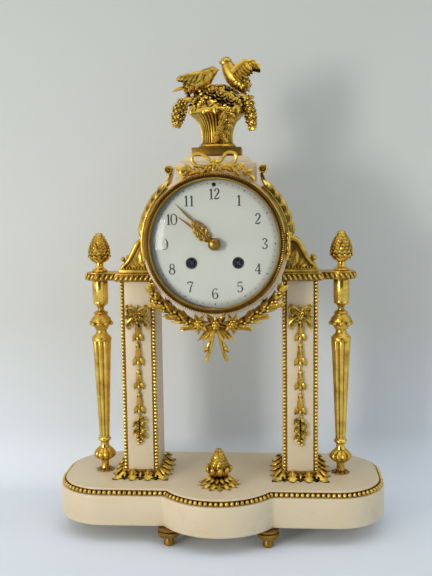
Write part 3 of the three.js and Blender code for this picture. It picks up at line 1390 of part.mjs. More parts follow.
function rearRing() {
  const spigot = drumBore - GAP;
  const face = drumRear + GAP + REAR_RING_THICKNESS;
  const ring = turnedAboutY([
    [rearRingInner, drumRear - REAR_SPIGOT_LENGTH],
    [spigot, drumRear - REAR_SPIGOT_LENGTH],
    [spigot, drumRear + GAP],
    [rearRingRadius, drumRear + GAP],
    [rearRingRadius, face],
    [rearRingInner, face],
    [rearRingInner, drumRear - REAR_SPIGOT_LENGTH],
  ]);
  return join(ring, hingeEars(rearHinge[0], rearHinge[1], rearDoorRadius + RUN_GAP, face, -1));
}

function rearDoor() {
  const back = rearDoorY + REAR_DOOR_THICKNESS;
  const r = rearDoorRadius;
  const disc = turnedAboutY([
    [0, rearDoorY],
    [r, rearDoorY],
    [r, back],
    [r - 3, back + 0.8],
    [0, back],
  ], 20);
  const half = HINGE_KNUCKLE_LENGTH / 2;
  const [x, y] = rearHinge;
  const knuckle = post(HINGE_RADIUS, -half, half, x, y);
  const web = box(r - 1.5, x, rearDoorY, rearDoorY + 2, -half, half);
  const knob = turnedAboutY([[0, 0], [1.6, 0], [1.4, 2], [2.6, 3.2], [0, 4.8]], 8);
  const bore = post(HINGE_PIN_RADIUS + RUN_GAP, -half - 1, half + 1, x, y);
  return cut(join(disc, knuckle, web, knob.translate(8 - r, back - 0.3, 0)), bore);
}

// Assembly
const clock = new THREE.Group();
const drum = new THREE.Group();
drum.position.set(0, 0, drumZ);
const finial = new THREE.Group();
finial.position.set(0, BLOCK_Y, basketRim);
clock.add(drum, finial);

function add(group, name, geometry, look) {
  const body = closed(geometry);
  body.computeVertexNormals();
  const mesh = new THREE.Mesh(body, new THREE.MeshStandardMaterial(look));
  mesh.name = name;
  group.add(mesh);
  return mesh;
}

function addPair(group, name, geometry, look) {
  add(group, `${name}_right`, geometry, look);
  add(group, `${name}_left`, mirrored(geometry), look);
}

add(clock, 'base_plinth', basePlinth(), MARBLE);
add(clock, 'base_beading', baseBeading(), GILT);
[['front', frontFootX, frontFootY], ['rear', rearFootX, rearFootY]].forEach(([place, x, y]) => {
  add(clock, `foot_${place}_right`, foot(), GILT).position.set(x, y, 0);
  add(clock, `foot_${place}_left`, foot(), GILT).position.set(-x, y, 0);
});
addPair(clock, 'pillar', pillar(), MARBLE);
addPair(clock, 'pillar_outer_beading', pillarStrip(true), GILT);
addPair(clock, 'pillar_inner_beading', pillarStrip(false), GILT);
addPair(clock, 'pillar_frame', pillarFrame(), GILT);
addPair(clock, 'pillar_drop', pillarDrop(), GILT);
addPair(clock, 'cornice', cornice(), GILT);
addPair(clock, 'column', column(), GILT);
addPair(clock, 'column_finial', columnFinial(), GILT);
add(clock, 'base_pinecone', baseFinial(), GILT);
add(clock, 'basket', basket(), GILT);

addPair(drum, 'scroll_bracket', scrollBracket(), GILT);
addPair(drum, 'side_mount', sideMount(), GILT);
add(drum, 'drum_case', drumCase(), MARBLE);
add(drum, 'cap_block', capBlock(), MARBLE);
add(drum, 'finial_plinth', finialPlinth(), GILT);
add(drum, 'ribbon_bow', ribbonBow(), GILT);
add(drum, 'laurel_swag', laurelSwag(), GILT);
add(drum, 'seat_ring', seatRing(), BRASS);
add(drum, 'bezel_ring', bezelRing(), GILT);
add(drum, 'bezel_glass', bezelGlass(), GLASS);
add(drum, 'dial', dial(), ENAMEL);
add(drum, 'hour_hand', hourHand(), GILT);
add(drum, 'minute_hand', minuteHand(), GILT);
add(drum, 'front_plate', movementPlate(frontPlateY), BRASS);
add(drum, 'back_plate', backPlate(), BRASS);
add(drum, 'going_barrel', barrel(goingBarrelAt, towards(goingBarrelAt, secondAt)), BRASS);
add(drum, 'strike_barrel', barrel(strikeBarrelAt, 0), BRASS);
add(drum, 'going_winding_arbor', windingArbor(goingBarrelAt), STEEL);
add(drum, 'strike_winding_arbor', windingArbor(strikeBarrelAt), STEEL);
add(drum, 'second_wheel', secondWheel(), BRASS);
add(drum, 'centre_wheel', centreWheel(), BRASS);
add(drum, 'third_wheel', thirdWheel(), BRASS);
add(drum, 'escape_wheel', escapeWheel(), BRASS);
add(drum, 'anchor', anchor(), STEEL);
add(drum, 'pendulum', pendulum(), BRASS);
add(drum, 'suspension', suspension(), BRASS);
add(drum, 'regulator_arbor', regulator(), STEEL);
add(drum, 'bell', bell(), BELL_METAL);
add(drum, 'hammer', hammer(), STEEL);
add(drum, 'rear_ring', rearRing(), BRASS);
add(drum, 'rear_door', rearDoor(), BRASS);

add(finial, 'bouquet', bouquet(), GILT);
add(finial, 'dove_left', doveLeft(), GILT);
add(finial, 'dove_right', doveRight(), GILT);

export default clock;
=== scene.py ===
import json
import math

import bmesh
import bpy
from mathutils import Matrix, Vector


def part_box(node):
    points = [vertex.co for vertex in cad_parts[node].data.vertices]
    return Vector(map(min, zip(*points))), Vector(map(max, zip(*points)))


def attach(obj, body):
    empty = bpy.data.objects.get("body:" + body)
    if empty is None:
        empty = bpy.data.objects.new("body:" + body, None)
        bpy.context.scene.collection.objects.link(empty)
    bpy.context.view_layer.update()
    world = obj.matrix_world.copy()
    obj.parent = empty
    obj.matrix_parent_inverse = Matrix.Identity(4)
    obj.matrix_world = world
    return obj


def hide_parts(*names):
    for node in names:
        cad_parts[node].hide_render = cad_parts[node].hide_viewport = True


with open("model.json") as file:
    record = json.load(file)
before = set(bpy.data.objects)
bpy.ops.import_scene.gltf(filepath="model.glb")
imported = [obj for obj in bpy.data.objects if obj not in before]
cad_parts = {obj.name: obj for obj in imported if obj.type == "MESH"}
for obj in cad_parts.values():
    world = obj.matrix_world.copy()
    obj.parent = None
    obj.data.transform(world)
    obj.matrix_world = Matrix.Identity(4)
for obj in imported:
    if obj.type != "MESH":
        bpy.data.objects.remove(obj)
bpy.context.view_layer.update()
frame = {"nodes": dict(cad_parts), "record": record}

# Sizes are in millimetres until a piece is fitted; the frame gives the places of the clock's own pieces.
MM = 0.001
WELD = 0.0005  # corners nearer than this are joined
HOLE_STEP = 15  # degrees between the corners of a drilled hole
UP = Vector((0, 0, 1))
TO_READER = Vector((0, -1, 0))
RECORD = frame["record"]
BODY_OF = {node: body for body, nodes in RECORD["behaviour"]["bodies"].items() for node in nodes}
SLOT_OF = {part["node"]: part["material_slot"] for part in RECORD["subparts"]}


def span(node):
    """Lowest and highest corner of a node."""
    low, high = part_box(node)
    return low / MM, high / MM


def middle(node):
    """Middle of a node's box."""
    low, high = span(node)
    return (low + high) / 2


base_low, base_high = span("base_plinth")
pillar_low, pillar_high = span("pillar_right")
drum_low, drum_high = span("drum_case")
BASE_TOP = base_high.z
PILLAR = middle("pillar_right")
COLUMN = middle("column_right")
DIAL_Z = middle("dial").z
DRUM_RADIUS = drum_high.x
FINIAL_Y = middle("basket").y

# The dial's own frame: x to the right, y up, z towards the reader.
DIAL_FRAME = Matrix.Translation((0, 0, DIAL_Z)) @ Matrix.Rotation(math.radians(90), 4, "X")

# Marble base and drum
BASE_CORNER_RADIUS = 41
BOW_CHORD = 87
BOW_PROJECTION = 22
REBATE_DEPTH = 4.2
REBATE_HEIGHT = 5
BASE_BEAD_RADIUS = 1.75
BASE_BEAD_PITCH = 4.1
BASE_STRIP_THICKNESS = 0.6
DRUM_WALL = 8
DRUM_EDGE = 1.4

# Pillars, columns and their trim
STRIP_SIZE = 3.6
STRIP_BEAD_RADIUS = 1.6
STRIP_BEAD_PITCH = 2.9
STRIP_CORE_SETBACK = 1.1
GADROON_PITCH = 4.0
GADROON_SLANT = 38
GADROON_RELIEF = 1.5
CORNICE_ARM = 9.5
FINIAL_FOOT_HEIGHT = 7.6
CALYX_HEIGHT = 12.4

# Mounts round the drum, heights from the middle of the dial
SHOULDER_SETBACK = 9
SHOULDER_FROM, SHOULDER_TO, SHOULDER_RIM_FROM = 7, 50, -13
RIBBON_KNOT = 61.2
SWAG_KNOT = -63.5

# Dial, glass and hands
NUMERAL_HEIGHT = 8.2
NUMERAL_RING = 38.2
MINUTE_RING = 46.3
PAINT_THICKNESS = 0.05
WINDING_PLACE = (18, -14.6)
WINDING_HOLE = 4.6
WINDING_SQUARE_HOLE = 2.9
REGULATOR_RISE = 45.2
REGULATOR_HOLE = 1.6
HAND_HOLE = 3.4
# Painted shade: the enamel greys between these radii, standing in for the bezel's shadow on the dial
SHADED_RIM_FROM, SHADED_RIM_TO = 43.5, 49.5
HOUR_ANGLE, HOUR_LENGTH = 307, 35
MINUTE_ANGLE, MINUTE_LENGTH = 316.4, 43
HAND_THICKNESS = 0.4
HAND_BORE = 1.7
GLASS_SEAT = 41.25
GLASS_DOME_RADIUS = 48.4
GLASS_THICKNESS = 1.4
GLASS_FLATTER = 0.8
GLASS_RINGS = 14
MILLING_PITCH = 1.7

# Upright hinges of the bezel and the rear door, heights from the middle of the dial
KNUCKLE_RADIUS = 1.9
KNUCKLE_WAIST = 1.75
KNUCKLE_BORE = 1.1
KNUCKLE_HALF = 5.9
HINGE_LEAF_HALF = 5.7
EAR_NEAR, EAR_FAR = 6.2, 8.7
PIN_RADIUS = 0.8
PIN_HALF = 9.4
BEZEL_HINGE_Y = -37.9
REAR_HINGE = (47.8, 51.9)

# Half widths of the pine cones, evenly spaced from foot to tip
PINE_CONE = (4.6, 7.6, 8.6, 8.8, 8.5, 7.8, 6.8, 5.5, 3.9, 1.8)
CONE_IN_CALYX = (8.2, 7.8, 7.2, 6.2, 5, 3.6, 2)


# Drawing and casting

def place(point, normal=(0, 0, 1), along=(1, 0, 0), size=(1, 1, 1)):
    """A matrix that sets a mould at a point, its z along the normal and its x as near 'along' as may be."""
    z = Vector(normal).normalized()
    y = z.cross(Vector(along)).normalized()
    turn = Matrix((y.cross(z), y, z)).transposed().to_4x4()
    return Matrix.Translation(point) @ turn @ Matrix.Diagonal((*size, 1))


def cast(bm):
    """Closes a worked shape, turns its faces outwards and keeps it as a mould."""
    bmesh.ops.remove_doubles(bm, verts=bm.verts, dist=WELD)
    bmesh.ops.dissolve_degenerate(bm, dist=WELD, edges=bm.edges)
    bmesh.ops.recalc_face_normals(bm, faces=bm.faces)
    mesh = bpy.data.meshes.new("mould")
    bm.to_mesh(mesh)
    bm.free()
    return mesh


def press(bm, mould, matrix=Matrix(), finish=0):
    """Stamps a mould into a piece; 'finish' is the number of its material on that piece."""
    stamp = mould.copy()
    stamp.transform(matrix)
    if matrix.determinant() < 0:
        stamp.flip_normals()
    stamp.polygons.foreach_set("material_index", [finish] * len(stamp.polygons))
    bm.from_mesh(stamp)
    bpy.data.meshes.remove(stamp)


def bead(bm, point, *radii):
    """Sets a bead at a point, of one radius or of one radius for each axis."""
    press(bm, BEAD, place(point, size=radii if len(radii) == 3 else radii * 3))


def turned(profile, steps=32, flutes=0, depth=0.0):
    """A profile of (radius, height) points turned about z; flutes are hollowed to a share of the radius."""
    bm = bmesh.new()
    verts = [bm.verts.new((radius, 0, height)) for radius, height in profile]
    edges = [bm.edges.new(pair) for pair in zip(verts, verts[1:])]
    bmesh.ops.spin(bm, geom=verts + edges, cent=(0, 0, 0), axis=(0, 0, 1), angle=math.tau, steps=steps,
                   use_merge=True)
    for vert in bm.verts:
        hollow = abs(math.cos(flutes * math.atan2(vert.co.y, vert.co.x) / 2)) if flutes else 1
        vert.co.xy *= 1 - depth * (1 - hollow)
    return cast(bm)


def trace(bm, start, moves, arc_step=7.5):
    """Draws a flat outline and gives its vertices: (x, y) is a line, (x, y, degrees) an arc about x, y."""
    path = [bm.verts.new((*start, 0))]
    for x, y, *turn in moves:
        if not turn:
            path.append(bm.verts.new((x, y, 0)))
            bm.edges.new(path[-2:])
            continue
        steps = max(2, round(abs(turn[0]) / arc_step))
        step = Matrix.Rotation(math.radians(turn[0] / steps), 3, "Z")
        for _ in range(steps):
            path += bmesh.ops.extrude_vert_indiv(bm, verts=path[-1:])["verts"]
            bmesh.ops.rotate(bm, verts=path[-1:], cent=(x, y, 0), matrix=step)
    return path


def outline_points(start, moves):
    """The points of a flat outline."""
    bm = bmesh.new()
    points = [vert.co.copy() for vert in trace(bm, start, moves)]
    bm.free()
    return points


def lift(bm, grown, low, high):
    """Raises what an extrusion has grown, so that the shape stands between two heights."""
    raised = [item for item in grown if isinstance(item, bmesh.types.BMVert)]
    bmesh.ops.translate(bm, verts=raised, vec=(0, 0, high - low))
    bmesh.ops.translate(bm, verts=bm.verts, vec=(0, 0, low))


def ease(bm, sharper_than, offset, segments):
    """Rounds every edge that is sharper than an angle in degrees."""
    limit = math.radians(sharper_than)
    rims = [edge for edge in bm.edges if len(edge.link_faces) == 2 and edge.calc_face_angle() > limit]
    bmesh.ops.bevel(bm, geom=rims, offset=offset, offset_type="OFFSET", affect="EDGES", segments=segments,
                    profile=0.5, material=-1)


def slab(start, moves, low, high, edge=0.0, holes=()):
    """A flat outline given thickness, with its edges eased; holes are (x, y, radius)."""
    bm = bmesh.new()
    path = trace(bm, start, moves)
    bm.edges.new((path[-1], path[0]))
    for x, y, radius in holes:
        rim = trace(bm, (x + radius, y), [(x, y, 360 - HOLE_STEP)], HOLE_STEP)
        bm.edges.new((rim[-1], rim[0]))
    if holes:
        bmesh.ops.triangle_fill(bm, use_beauty=True, edges=bm.edges[:])
    else:
        bm.faces.new(path)
    lift(bm, bmesh.ops.extrude_face_region(bm, geom=bm.faces[:])["geom"], low, high)
    bmesh.ops.recalc_face_normals(bm, faces=bm.faces)
    if edge:
        ease(bm, sharper_than=40, offset=edge, segments=3)
    return cast(bm)


def block(low, high, edge=0.5):
    """A squared block between two corners, its edges eased."""
    moves = [(high[0], low[1]), (high[0], high[1]), (low[0], high[1])]
    return slab((low[0], low[1]), moves, low[2], high[2], edge)


def wire(points, radii, loop=False, sides=2, band=0.0):
    """A smooth rod through points, a radius at each; a band is a flat ribbon of that width, drawn in xy."""
    curve = bpy.data.curves.new("wire", "CURVE")
    curve.dimensions = "2D" if band else "3D"
    curve.fill_mode = "NONE" if band else "FULL"
    curve.extrude = band / 2
    curve.bevel_depth = 1
    curve.bevel_resolution = sides
    curve.use_fill_caps = not loop
    curve.resolution_u = 5
    spline = curve.splines.new("BEZIER")
    spline.bezier_points.add(len(points) - 1)
    spline.use_cyclic_u = loop
    for knot, point, radius in zip(spline.bezier_points, points, radii):
        knot.co = (*point, 0)[:3]
        knot.radius = radius
        knot.handle_left_type = "AUTO"
        knot.handle_right_type = "AUTO"
    rod = bpy.data.objects.new("wire", curve)
    mesh = bpy.data.meshes.new_from_object(rod)
    bpy.data.objects.remove(rod)
    bpy.data.curves.remove(curve)
    bm = bmesh.new()
    bm.from_mesh(mesh)
    bpy.data.meshes.remove(mesh)
    return cast(bm)


def walk(points, pitch):
    """Evenly spaced places along a path, each with its direction."""
    path = [Vector((*point, 0)[:3]) for point in points]
    lengths = [(b - a).length for a, b in zip(path, path[1:])]
    count = round(sum(lengths) / pitch)
    step = sum(lengths) / count
    stops = []
    travelled = 0
    for a, b, length in zip(path, path[1:], lengths):
        while len(stops) < count and (len(stops) + 0.5) * step <= travelled + length:
            share = ((len(stops) + 0.5) * step - travelled) / length
            stops.append((a.lerp(b, share), (b - a).normalized()))
        travelled += length
    return stops


def around(count, start=0.0):
    """Evenly spaced outward directions, in the xy plane."""
    turns = [start + math.tau * i / count for i in range(count)]
    return [Vector((math.cos(turn), math.sin(turn), 0)) for turn in turns]


def between(values, share):
    """A value part of the way along evenly spaced values."""
    at = min(max(share, 0), 0.999) * (len(values) - 1)
    near = int(at)
    return values[near] + (values[near + 1] - values[near]) * (at - near)


def trim(bm, axis, low=-math.inf, high=math.inf):
    """Presses what reaches past a plane back to it; the axis is a letter."""
    number = "xyz".index(axis)
    for vert in bm.verts:
        vert.co[number] = min(max(vert.co[number], low), high)


def clear_dial_axis(bm, radius, behind=-math.inf):
    """Moves what lies behind a plane and within a radius of the dial's axis out to that radius."""
    for vert in bm.verts:
        spot = Vector((vert.co.x, vert.co.z - DIAL_Z))
        if spot.length < radius and vert.co.y > behind:
            spot *= radius / spot.length
            vert.co.x, vert.co.z = spot.x, DIAL_Z + spot.y


def fit(name, bm, node, *finishes, sharp=42):
    """Fits a worked piece in the place of a node."""
    bm.transform(Matrix.Scale(MM, 4))
    mesh = bpy.data.meshes.new(name)
    bm.to_mesh(mesh)
    bm.free()
    mesh.shade_smooth()
    mesh.set_sharp_from_angle(angle=math.radians(sharp))
    for finish in finishes:
        mesh.materials.append(finish)
    piece = bpy.data.objects.new(name, mesh)
    bpy.context.scene.collection.objects.link(piece)
    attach(piece, BODY_OF[node])
    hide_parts(node)
    return piece


def fit_pair(name, bm, node, *finishes):
    """Fits a right-hand piece and its mirror image on the left."""
    left = bm.copy()
    left.transform(Matrix.Diagonal((-1, 1, 1, 1)))
    bmesh.ops.reverse_faces(left, faces=left.faces)
    fit(name + "_right", bm, node + "_right", *finishes)
    fit(name + "_left", left, node + "_left", *finishes)


# Moulds that many pieces share

def bead_mould(around_count=8, rows=6):
    """A bead of radius one."""
    bm = bmesh.new()
    bmesh.ops.create_uvsphere(bm, u_segments=around_count, v_segments=rows, radius=1)
    return cast(bm)


def leaf_mould(lobes=0, curl=0.25, fold=0.22, blunt=0.8, point=0.7):
    """A leaf from x 0 to 1, one wide, with a raised midrib, a drooping tip and lobes along its edge."""
    bm = bmesh.new()
    bmesh.ops.create_grid(bm, x_segments=max(6, 3 * lobes), y_segments=4, size=0.5)
    for vert in bm.verts:
        along, across = vert.co.x + 0.5, vert.co.y
        width = math.sin(math.pi * (0.06 + 0.94 * along) ** blunt) ** point if along < 0.999 else 0
        ripple = 1 - 0.36 * abs(math.sin(math.pi * lobes * along)) if lobes else 1
        edge = abs(across) > 0.4
        vert.co = (along, across * width * (ripple if edge else 1), 0)
        vert.co.z = fold * (0.5 - abs(across)) * 2 * width - curl * along * along
    bmesh.ops.remove_doubles(bm, verts=bm.verts, dist=0.01)
    bmesh.ops.recalc_face_normals(bm, faces=bm.faces)
    bmesh.ops.solidify(bm, geom=bm.faces[:], thickness=0.09)
    return cast(bm)


def flower_mould(petals=6):
    """Two rings of cupped petals round a bead, one across, facing z."""
    bm = bmesh.new()
    petal = leaf_mould(curl=-0.3, fold=0.12, blunt=1.5)
    for ring, (reach, rise) in enumerate(((0.5, 0.0), (0.34, 0.12))):
        for out in around(petals, ring * math.pi / petals):
            press(bm, petal, place((0, 0, rise), UP, out, (reach, reach * 0.95, 0.5)))
    bead(bm, (0, 0, 0.2), 0.13)
    return cast(bm)


BEAD = bead_mould()
SMALL_BEAD = bead_mould(around_count=6, rows=4)
FEATHER = leaf_mould(curl=0.12, fold=0.3, blunt=0.85)
LAUREL = leaf_mould(curl=0.1, fold=0.32, blunt=0.8, point=1.0)
WATER_LEAF = leaf_mould(curl=0.35, fold=0.3, blunt=0.9)
ACANTHUS = leaf_mould(lobes=4, curl=0.3, fold=0.24, blunt=0.8)
SCALE = leaf_mould(curl=-0.25, fold=0.3, blunt=0.75)
FLOWER = flower_mould()


# Materials

FACTOR, COLOUR_A, COLOUR_B, MIXED = 0, 6, 7, 2  # sockets of a Mix node that blends colours


def linear(hex_colour):
    """An sRGB hex colour as linear red, green, blue and alpha."""
    parts = [int(hex_colour[i:i + 2], 16) / 255 for i in (1, 3, 5)]
    return [p / 12.92 if p <= 0.04045 else ((p + 0.055) / 1.055) ** 2.4 for p in parts] + [1]


def per(size):
    """A pattern's scale, from the size in millimetres of its largest features."""
    return 1 / (size * MM)


def feed(tree, target, inputs):
    """Gives a shader node its inputs: a socket is linked, anything else is set as the input's value."""
    for key, value in inputs.items():
        if isinstance(value, bpy.types.NodeSocket):
            tree.links.new(value, target.inputs[key])
        else:
            target.inputs[key].default_value = value


def node(tree, kind, inputs=None, **settings):
    """Adds a shader node with its settings and its inputs."""
    made = tree.nodes.new("ShaderNode" + kind)
    for key, value in settings.items():
        setattr(made, key, value)
    feed(tree, made, inputs or {})
    return made


def new_material(name):
    """An empty material, its node tree, its shader and its object coordinates."""
    material = bpy.data.materials.new(name)
    material.use_nodes = True
    tree = material.node_tree
    return material, tree, tree.nodes["Principled BSDF"], node(tree, "TexCoord").outputs["Object"]


def honed_marble():
    # White statuary marble, honed and waxed: cream with age, with broad soft clouds, a few faint grey-brown
    # veins and fine sugar-like crystals that break up the sheen.
    material, tree, shader, place_on = new_material("honed_white_marble")
    clouds = node(tree, "TexNoise", {"Vector": place_on, "Scale": per(45), "Detail": 4, "Roughness": 0.6})
    cream = node(tree, "Mix", {FACTOR: clouds.outputs["Fac"], COLOUR_A: linear("#c9b592"),
                               COLOUR_B: linear("#d9c9ad")}, data_type="RGBA")
    swirl = node(tree, "TexNoise", {"Vector": place_on, "Scale": per(60), "Detail": 5, "Distortion": 1.2})
    ridge = node(tree, "Math", {0: swirl.outputs["Fac"], 1: 0.5}, operation="SUBTRACT")
    crest = node(tree, "Math", {0: ridge.outputs[0]}, operation="ABSOLUTE")
    vein = node(tree, "MapRange", {"Value": crest.outputs[0], "From Max": 0.012, "To Min": 0.1,
                                   "To Max": 0.0})
    veined = node(tree, "Mix", {FACTOR: vein.outputs[0], COLOUR_A: cream.outputs[MIXED],
                                COLOUR_B: linear("#8f7850")}, data_type="RGBA")
    crystals = node(tree, "TexNoise", {"Vector": place_on, "Scale": per(1.2), "Detail": 3})
    sheen = node(tree, "MapRange", {"Value": crystals.outputs["Fac"], "To Min": 0.28, "To Max": 0.5})
    relief = node(tree, "Bump", {"Strength": 0.04, "Distance": MM, "Height": crystals.outputs["Fac"]})
    feed(tree, shader, {"Base Color": veined.outputs[MIXED], "Roughness": sheen.outputs[0],
                        "Normal": relief.outputs[0], "IOR": 1.49})
    return material


def fire_gilding(name, bright, worn, hollow, rough, hollow_size):
    # Bronze, cast, chased and fire-gilt: bright gold on what stands proud, brown in the hollows, part dirt
    # and thin gilding, part painted shade that deepens where a hollow is closed in, and a finely pitted
    # skin.
    material, tree, shader, place_on = new_material(name)
    wear = node(tree, "TexNoise", {"Vector": place_on, "Scale": per(9), "Detail": 4, "Roughness": 0.65})
    patches = node(tree, "MapRange", {"Value": wear.outputs["Fac"], "From Min": 0.4, "From Max": 0.72})
    gold = node(tree, "Mix", {FACTOR: patches.outputs[0], COLOUR_A: linear(bright), COLOUR_B: linear(worn)},
                data_type="RGBA")
    # Painted shade: the more closed in a spot is, the nearer its colour goes to the hollow tone
    recess = node(tree, "AmbientOcclusion", {"Distance": hollow_size * MM}, samples=8, only_local=True)
    depth = node(tree, "MapRange", {"Value": recess.outputs["AO"], "From Min": 0.34, "From Max": 0.96,
                                    "To Min": 1.0, "To Max": 0.0})
    dirt_and_painted_shade = node(tree, "Mix", {FACTOR: depth.outputs[0], COLOUR_A: gold.outputs[MIXED],
                               COLOUR_B: linear(hollow)}, data_type="RGBA")
    skin = node(tree, "TexNoise", {"Vector": place_on, "Scale": per(0.9), "Detail": 3})
    matt = node(tree, "MapRange", {"Value": skin.outputs["Fac"], "To Min": rough - 0.08,
                                   "To Max": rough + 0.14})
    relief = node(tree, "Bump", {"Strength": 0.12, "Distance": 0.3 * MM, "Height": skin.outputs["Fac"]})
    feed(tree, shader, {"Base Color": dirt_and_painted_shade.outputs[MIXED], "Roughness": matt.outputs[0],
                        "Normal": relief.outputs[0], "Metallic": 1})
    return material


def grained_metal(name, light, dark, rough, along):
    # Metal finished with emery sticks: fine straight scratches that run one way and stretch each highlight.
    material, tree, shader, place_on = new_material(name)
    stretch = node(tree, "Mapping", {"Vector": place_on, "Scale": along})
    scratches = node(tree, "TexNoise", {"Vector": stretch.outputs[0], "Scale": per(0.8), "Detail": 3})
    tarnish = node(tree, "TexNoise", {"Vector": place_on, "Scale": per(14), "Detail": 4})
    tone = node(tree, "Mix", {FACTOR: tarnish.outputs["Fac"], COLOUR_A: linear(light),
                              COLOUR_B: linear(dark)}, data_type="RGBA")
    matt = node(tree, "MapRange", {"Value": scratches.outputs["Fac"], "To Min": rough - 0.1,
                                   "To Max": rough + 0.12})
    relief = node(tree, "Bump", {"Strength": 0.08, "Distance": 0.1 * MM, "Height": scratches.outputs["Fac"]})
    feed(tree, shader, {"Base Color": tone.outputs[MIXED], "Roughness": matt.outputs[0],
                        "Normal": relief.outputs[0], "Metallic": 1})
    return material


def fired_enamel():
    # White enamel fired on copper: a glossy grey-white with a hint of warmth, a very slightly uneven
    # surface, and a grey rim at its edge, painted shade where the bezel shades the dial.
    material, tree, shader, place_on = new_material("fired_white_enamel")
    clouds = node(tree, "TexNoise", {"Vector": place_on, "Scale": per(30), "Detail": 3})
    white = node(tree, "Mix", {FACTOR: clouds.outputs["Fac"], COLOUR_A: linear("#b5b2ab"),
                               COLOUR_B: linear("#bfbcb6")}, data_type="RGBA")
    centred = node(tree, "VectorMath", {0: place_on, 1: (0, 0, -DIAL_Z * MM)}, operation="ADD")
    level = node(tree, "VectorMath", {0: centred.outputs[0], 1: (1, 0, 1)}, operation="MULTIPLY")
    reach = node(tree, "VectorMath", {0: level.outputs[0]}, operation="LENGTH")
    # Painted shade: a grey ring at the dial's edge stands in for the bezel's shadow
    rim = node(tree, "MapRange", {"Value": reach.outputs["Value"], "From Min": SHADED_RIM_FROM * MM,
                                  "From Max": SHADED_RIM_TO * MM, "To Max": 0.7})
    painted_rim_shade = node(tree, "Mix", {FACTOR: rim.outputs[0], COLOUR_A: white.outputs[MIXED],
                               COLOUR_B: linear("#6a685f")}, data_type="RGBA")
    waves = node(tree, "TexNoise", {"Vector": place_on, "Scale": per(12), "Detail": 1})
    relief = node(tree, "Bump", {"Strength": 0.03, "Distance": MM, "Height": waves.outputs["Fac"]})
    feed(tree, shader, {"Base Color": painted_rim_shade.outputs[MIXED], "Normal": relief.outputs[0], "Roughness": 0.16,
                        "IOR": 1.52})
    return material


def black_paint():
    # Ceramic paint fired into the enamel: dense black that thins to dark brown in places.
    material, tree, shader, place_on = new_material("fired_black_paint")
    thin = node(tree, "TexNoise", {"Vector": place_on, "Scale": per(4), "Detail": 3})
    ink = node(tree, "Mix", {FACTOR: thin.outputs["Fac"], COLOUR_A: linear("#0b0b0b"),
                             COLOUR_B: linear("#1c1b1a")}, data_type="RGBA")
    feed(tree, shader, {"Base Color": ink.outputs[MIXED], "Roughness": 0.35})
    return material


def blown_glass():
    # Convex glass blown and cut: clear and thin, with a faint green cast and a soft drift in its polish.
    # A low index keeps the window that it mirrors faint, so that the numbers behind it can be read.
    material, tree, shader, place_on = new_material("blown_clear_glass")
    drift = node(tree, "TexNoise", {"Vector": place_on, "Scale": per(40), "Detail": 2})
    polish = node(tree, "MapRange", {"Value": drift.outputs["Fac"], "To Min": 0.0, "To Max": 0.05})
    feed(tree, shader, {"Base Color": linear("#f3f7f5"), "Roughness": polish.outputs[0],
                        "Transmission Weight": 1, "IOR": 1.17})
    return material


MARBLE = honed_marble()
# Each hollow tone is part dirt, part painted shade in the recesses
MATT_GILT = fire_gilding("chased_fire_gilt_bronze", bright="#e3bb50", worn="#a3782a", hollow="#1f1406",
                         rough=0.28, hollow_size=4.2)
BRIGHT_GILT = fire_gilding("burnished_fire_gilt_bronze", bright="#ecc65e", worn="#b98c34", hollow="#2e1f0a",
                           rough=0.17, hollow_size=2.6)
# A darker copy of the gilding: partly rubbed gilding, partly painted shade for pieces that stand in shade,
# such as the feet and the strips and slabs behind beads and gadroons, and a painted dark reflection on the
# bezel's rings
DULL_GILT = fire_gilding("rubbed_and_shaded_fire_gilt_bronze", bright="#a67f3a", worn="#86632a", hollow="#2e1f0a",
                         rough=0.3, hollow_size=2.4)
MILLED_GILT = fire_gilding("milled_fire_gilt_bronze", bright="#d2aa52", worn="#a07a34", hollow="#2e1f0a",
                           rough=0.2, hollow_size=0.5)
BRASS = grained_metal("grained_movement_brass", light="#c9a451", dark="#8f6f2c", rough=0.3,
                      along=(1, 1, 0.08))
STEEL = grained_metal("grained_blued_steel", light="#55585c", dark="#3b3d41", rough=0.32,
                      along=(1, 0.08, 1))
BELL_METAL = grained_metal("turned_bell_metal", light="#b3ad8f", dark="#86805f", rough=0.24,
                           along=(1, 0.1, 1))
ENAMEL = fired_enamel()
PAINT = black_paint()
GLASS = blown_glass()


# Marble pieces and their beading

def base_outline(inset):
    """Start and moves of the base's outline, from the middle of its back."""
    half, back = base_high.x - inset, base_high.y - inset
    front = base_low.y + BOW_PROJECTION + inset
    corner = BASE_CORNER_RADIUS - inset
    bow_radius = (BOW_CHORD ** 2 / 4 + BOW_PROJECTION ** 2) / (2 * BOW_PROJECTION)
    bow_middle = base_low.y + bow_radius
    bow = bow_radius - inset
    half_angle = math.acos((bow_middle - front) / bow)
    moves = [
        (corner - half, back), (corner - half, back - corner, 90),
        (-half, front + corner), (corner - half, front + corner, 90),
        (-bow * math.sin(half_angle), front), (0, bow_middle, math.degrees(2 * half_angle)),
        (half - corner, front), (half - corner, front + corner, 90),
        (half, back - corner), (half - corner, back - corner, 90),
    ]
    return (0, back), moves


def marble_base():
    """One slab with a bowed front, its upper edge cut back for the bead row."""
    bm = bmesh.new()
    step = BASE_TOP - REBATE_HEIGHT
    press(bm, slab(*base_outline(0), base_low.z, step, edge=1.3))
    press(bm, slab(*base_outline(REBATE_DEPTH), step - 1, BASE_TOP, edge=0.9))
    fit("honed_base", bm, "base_plinth", MARBLE)


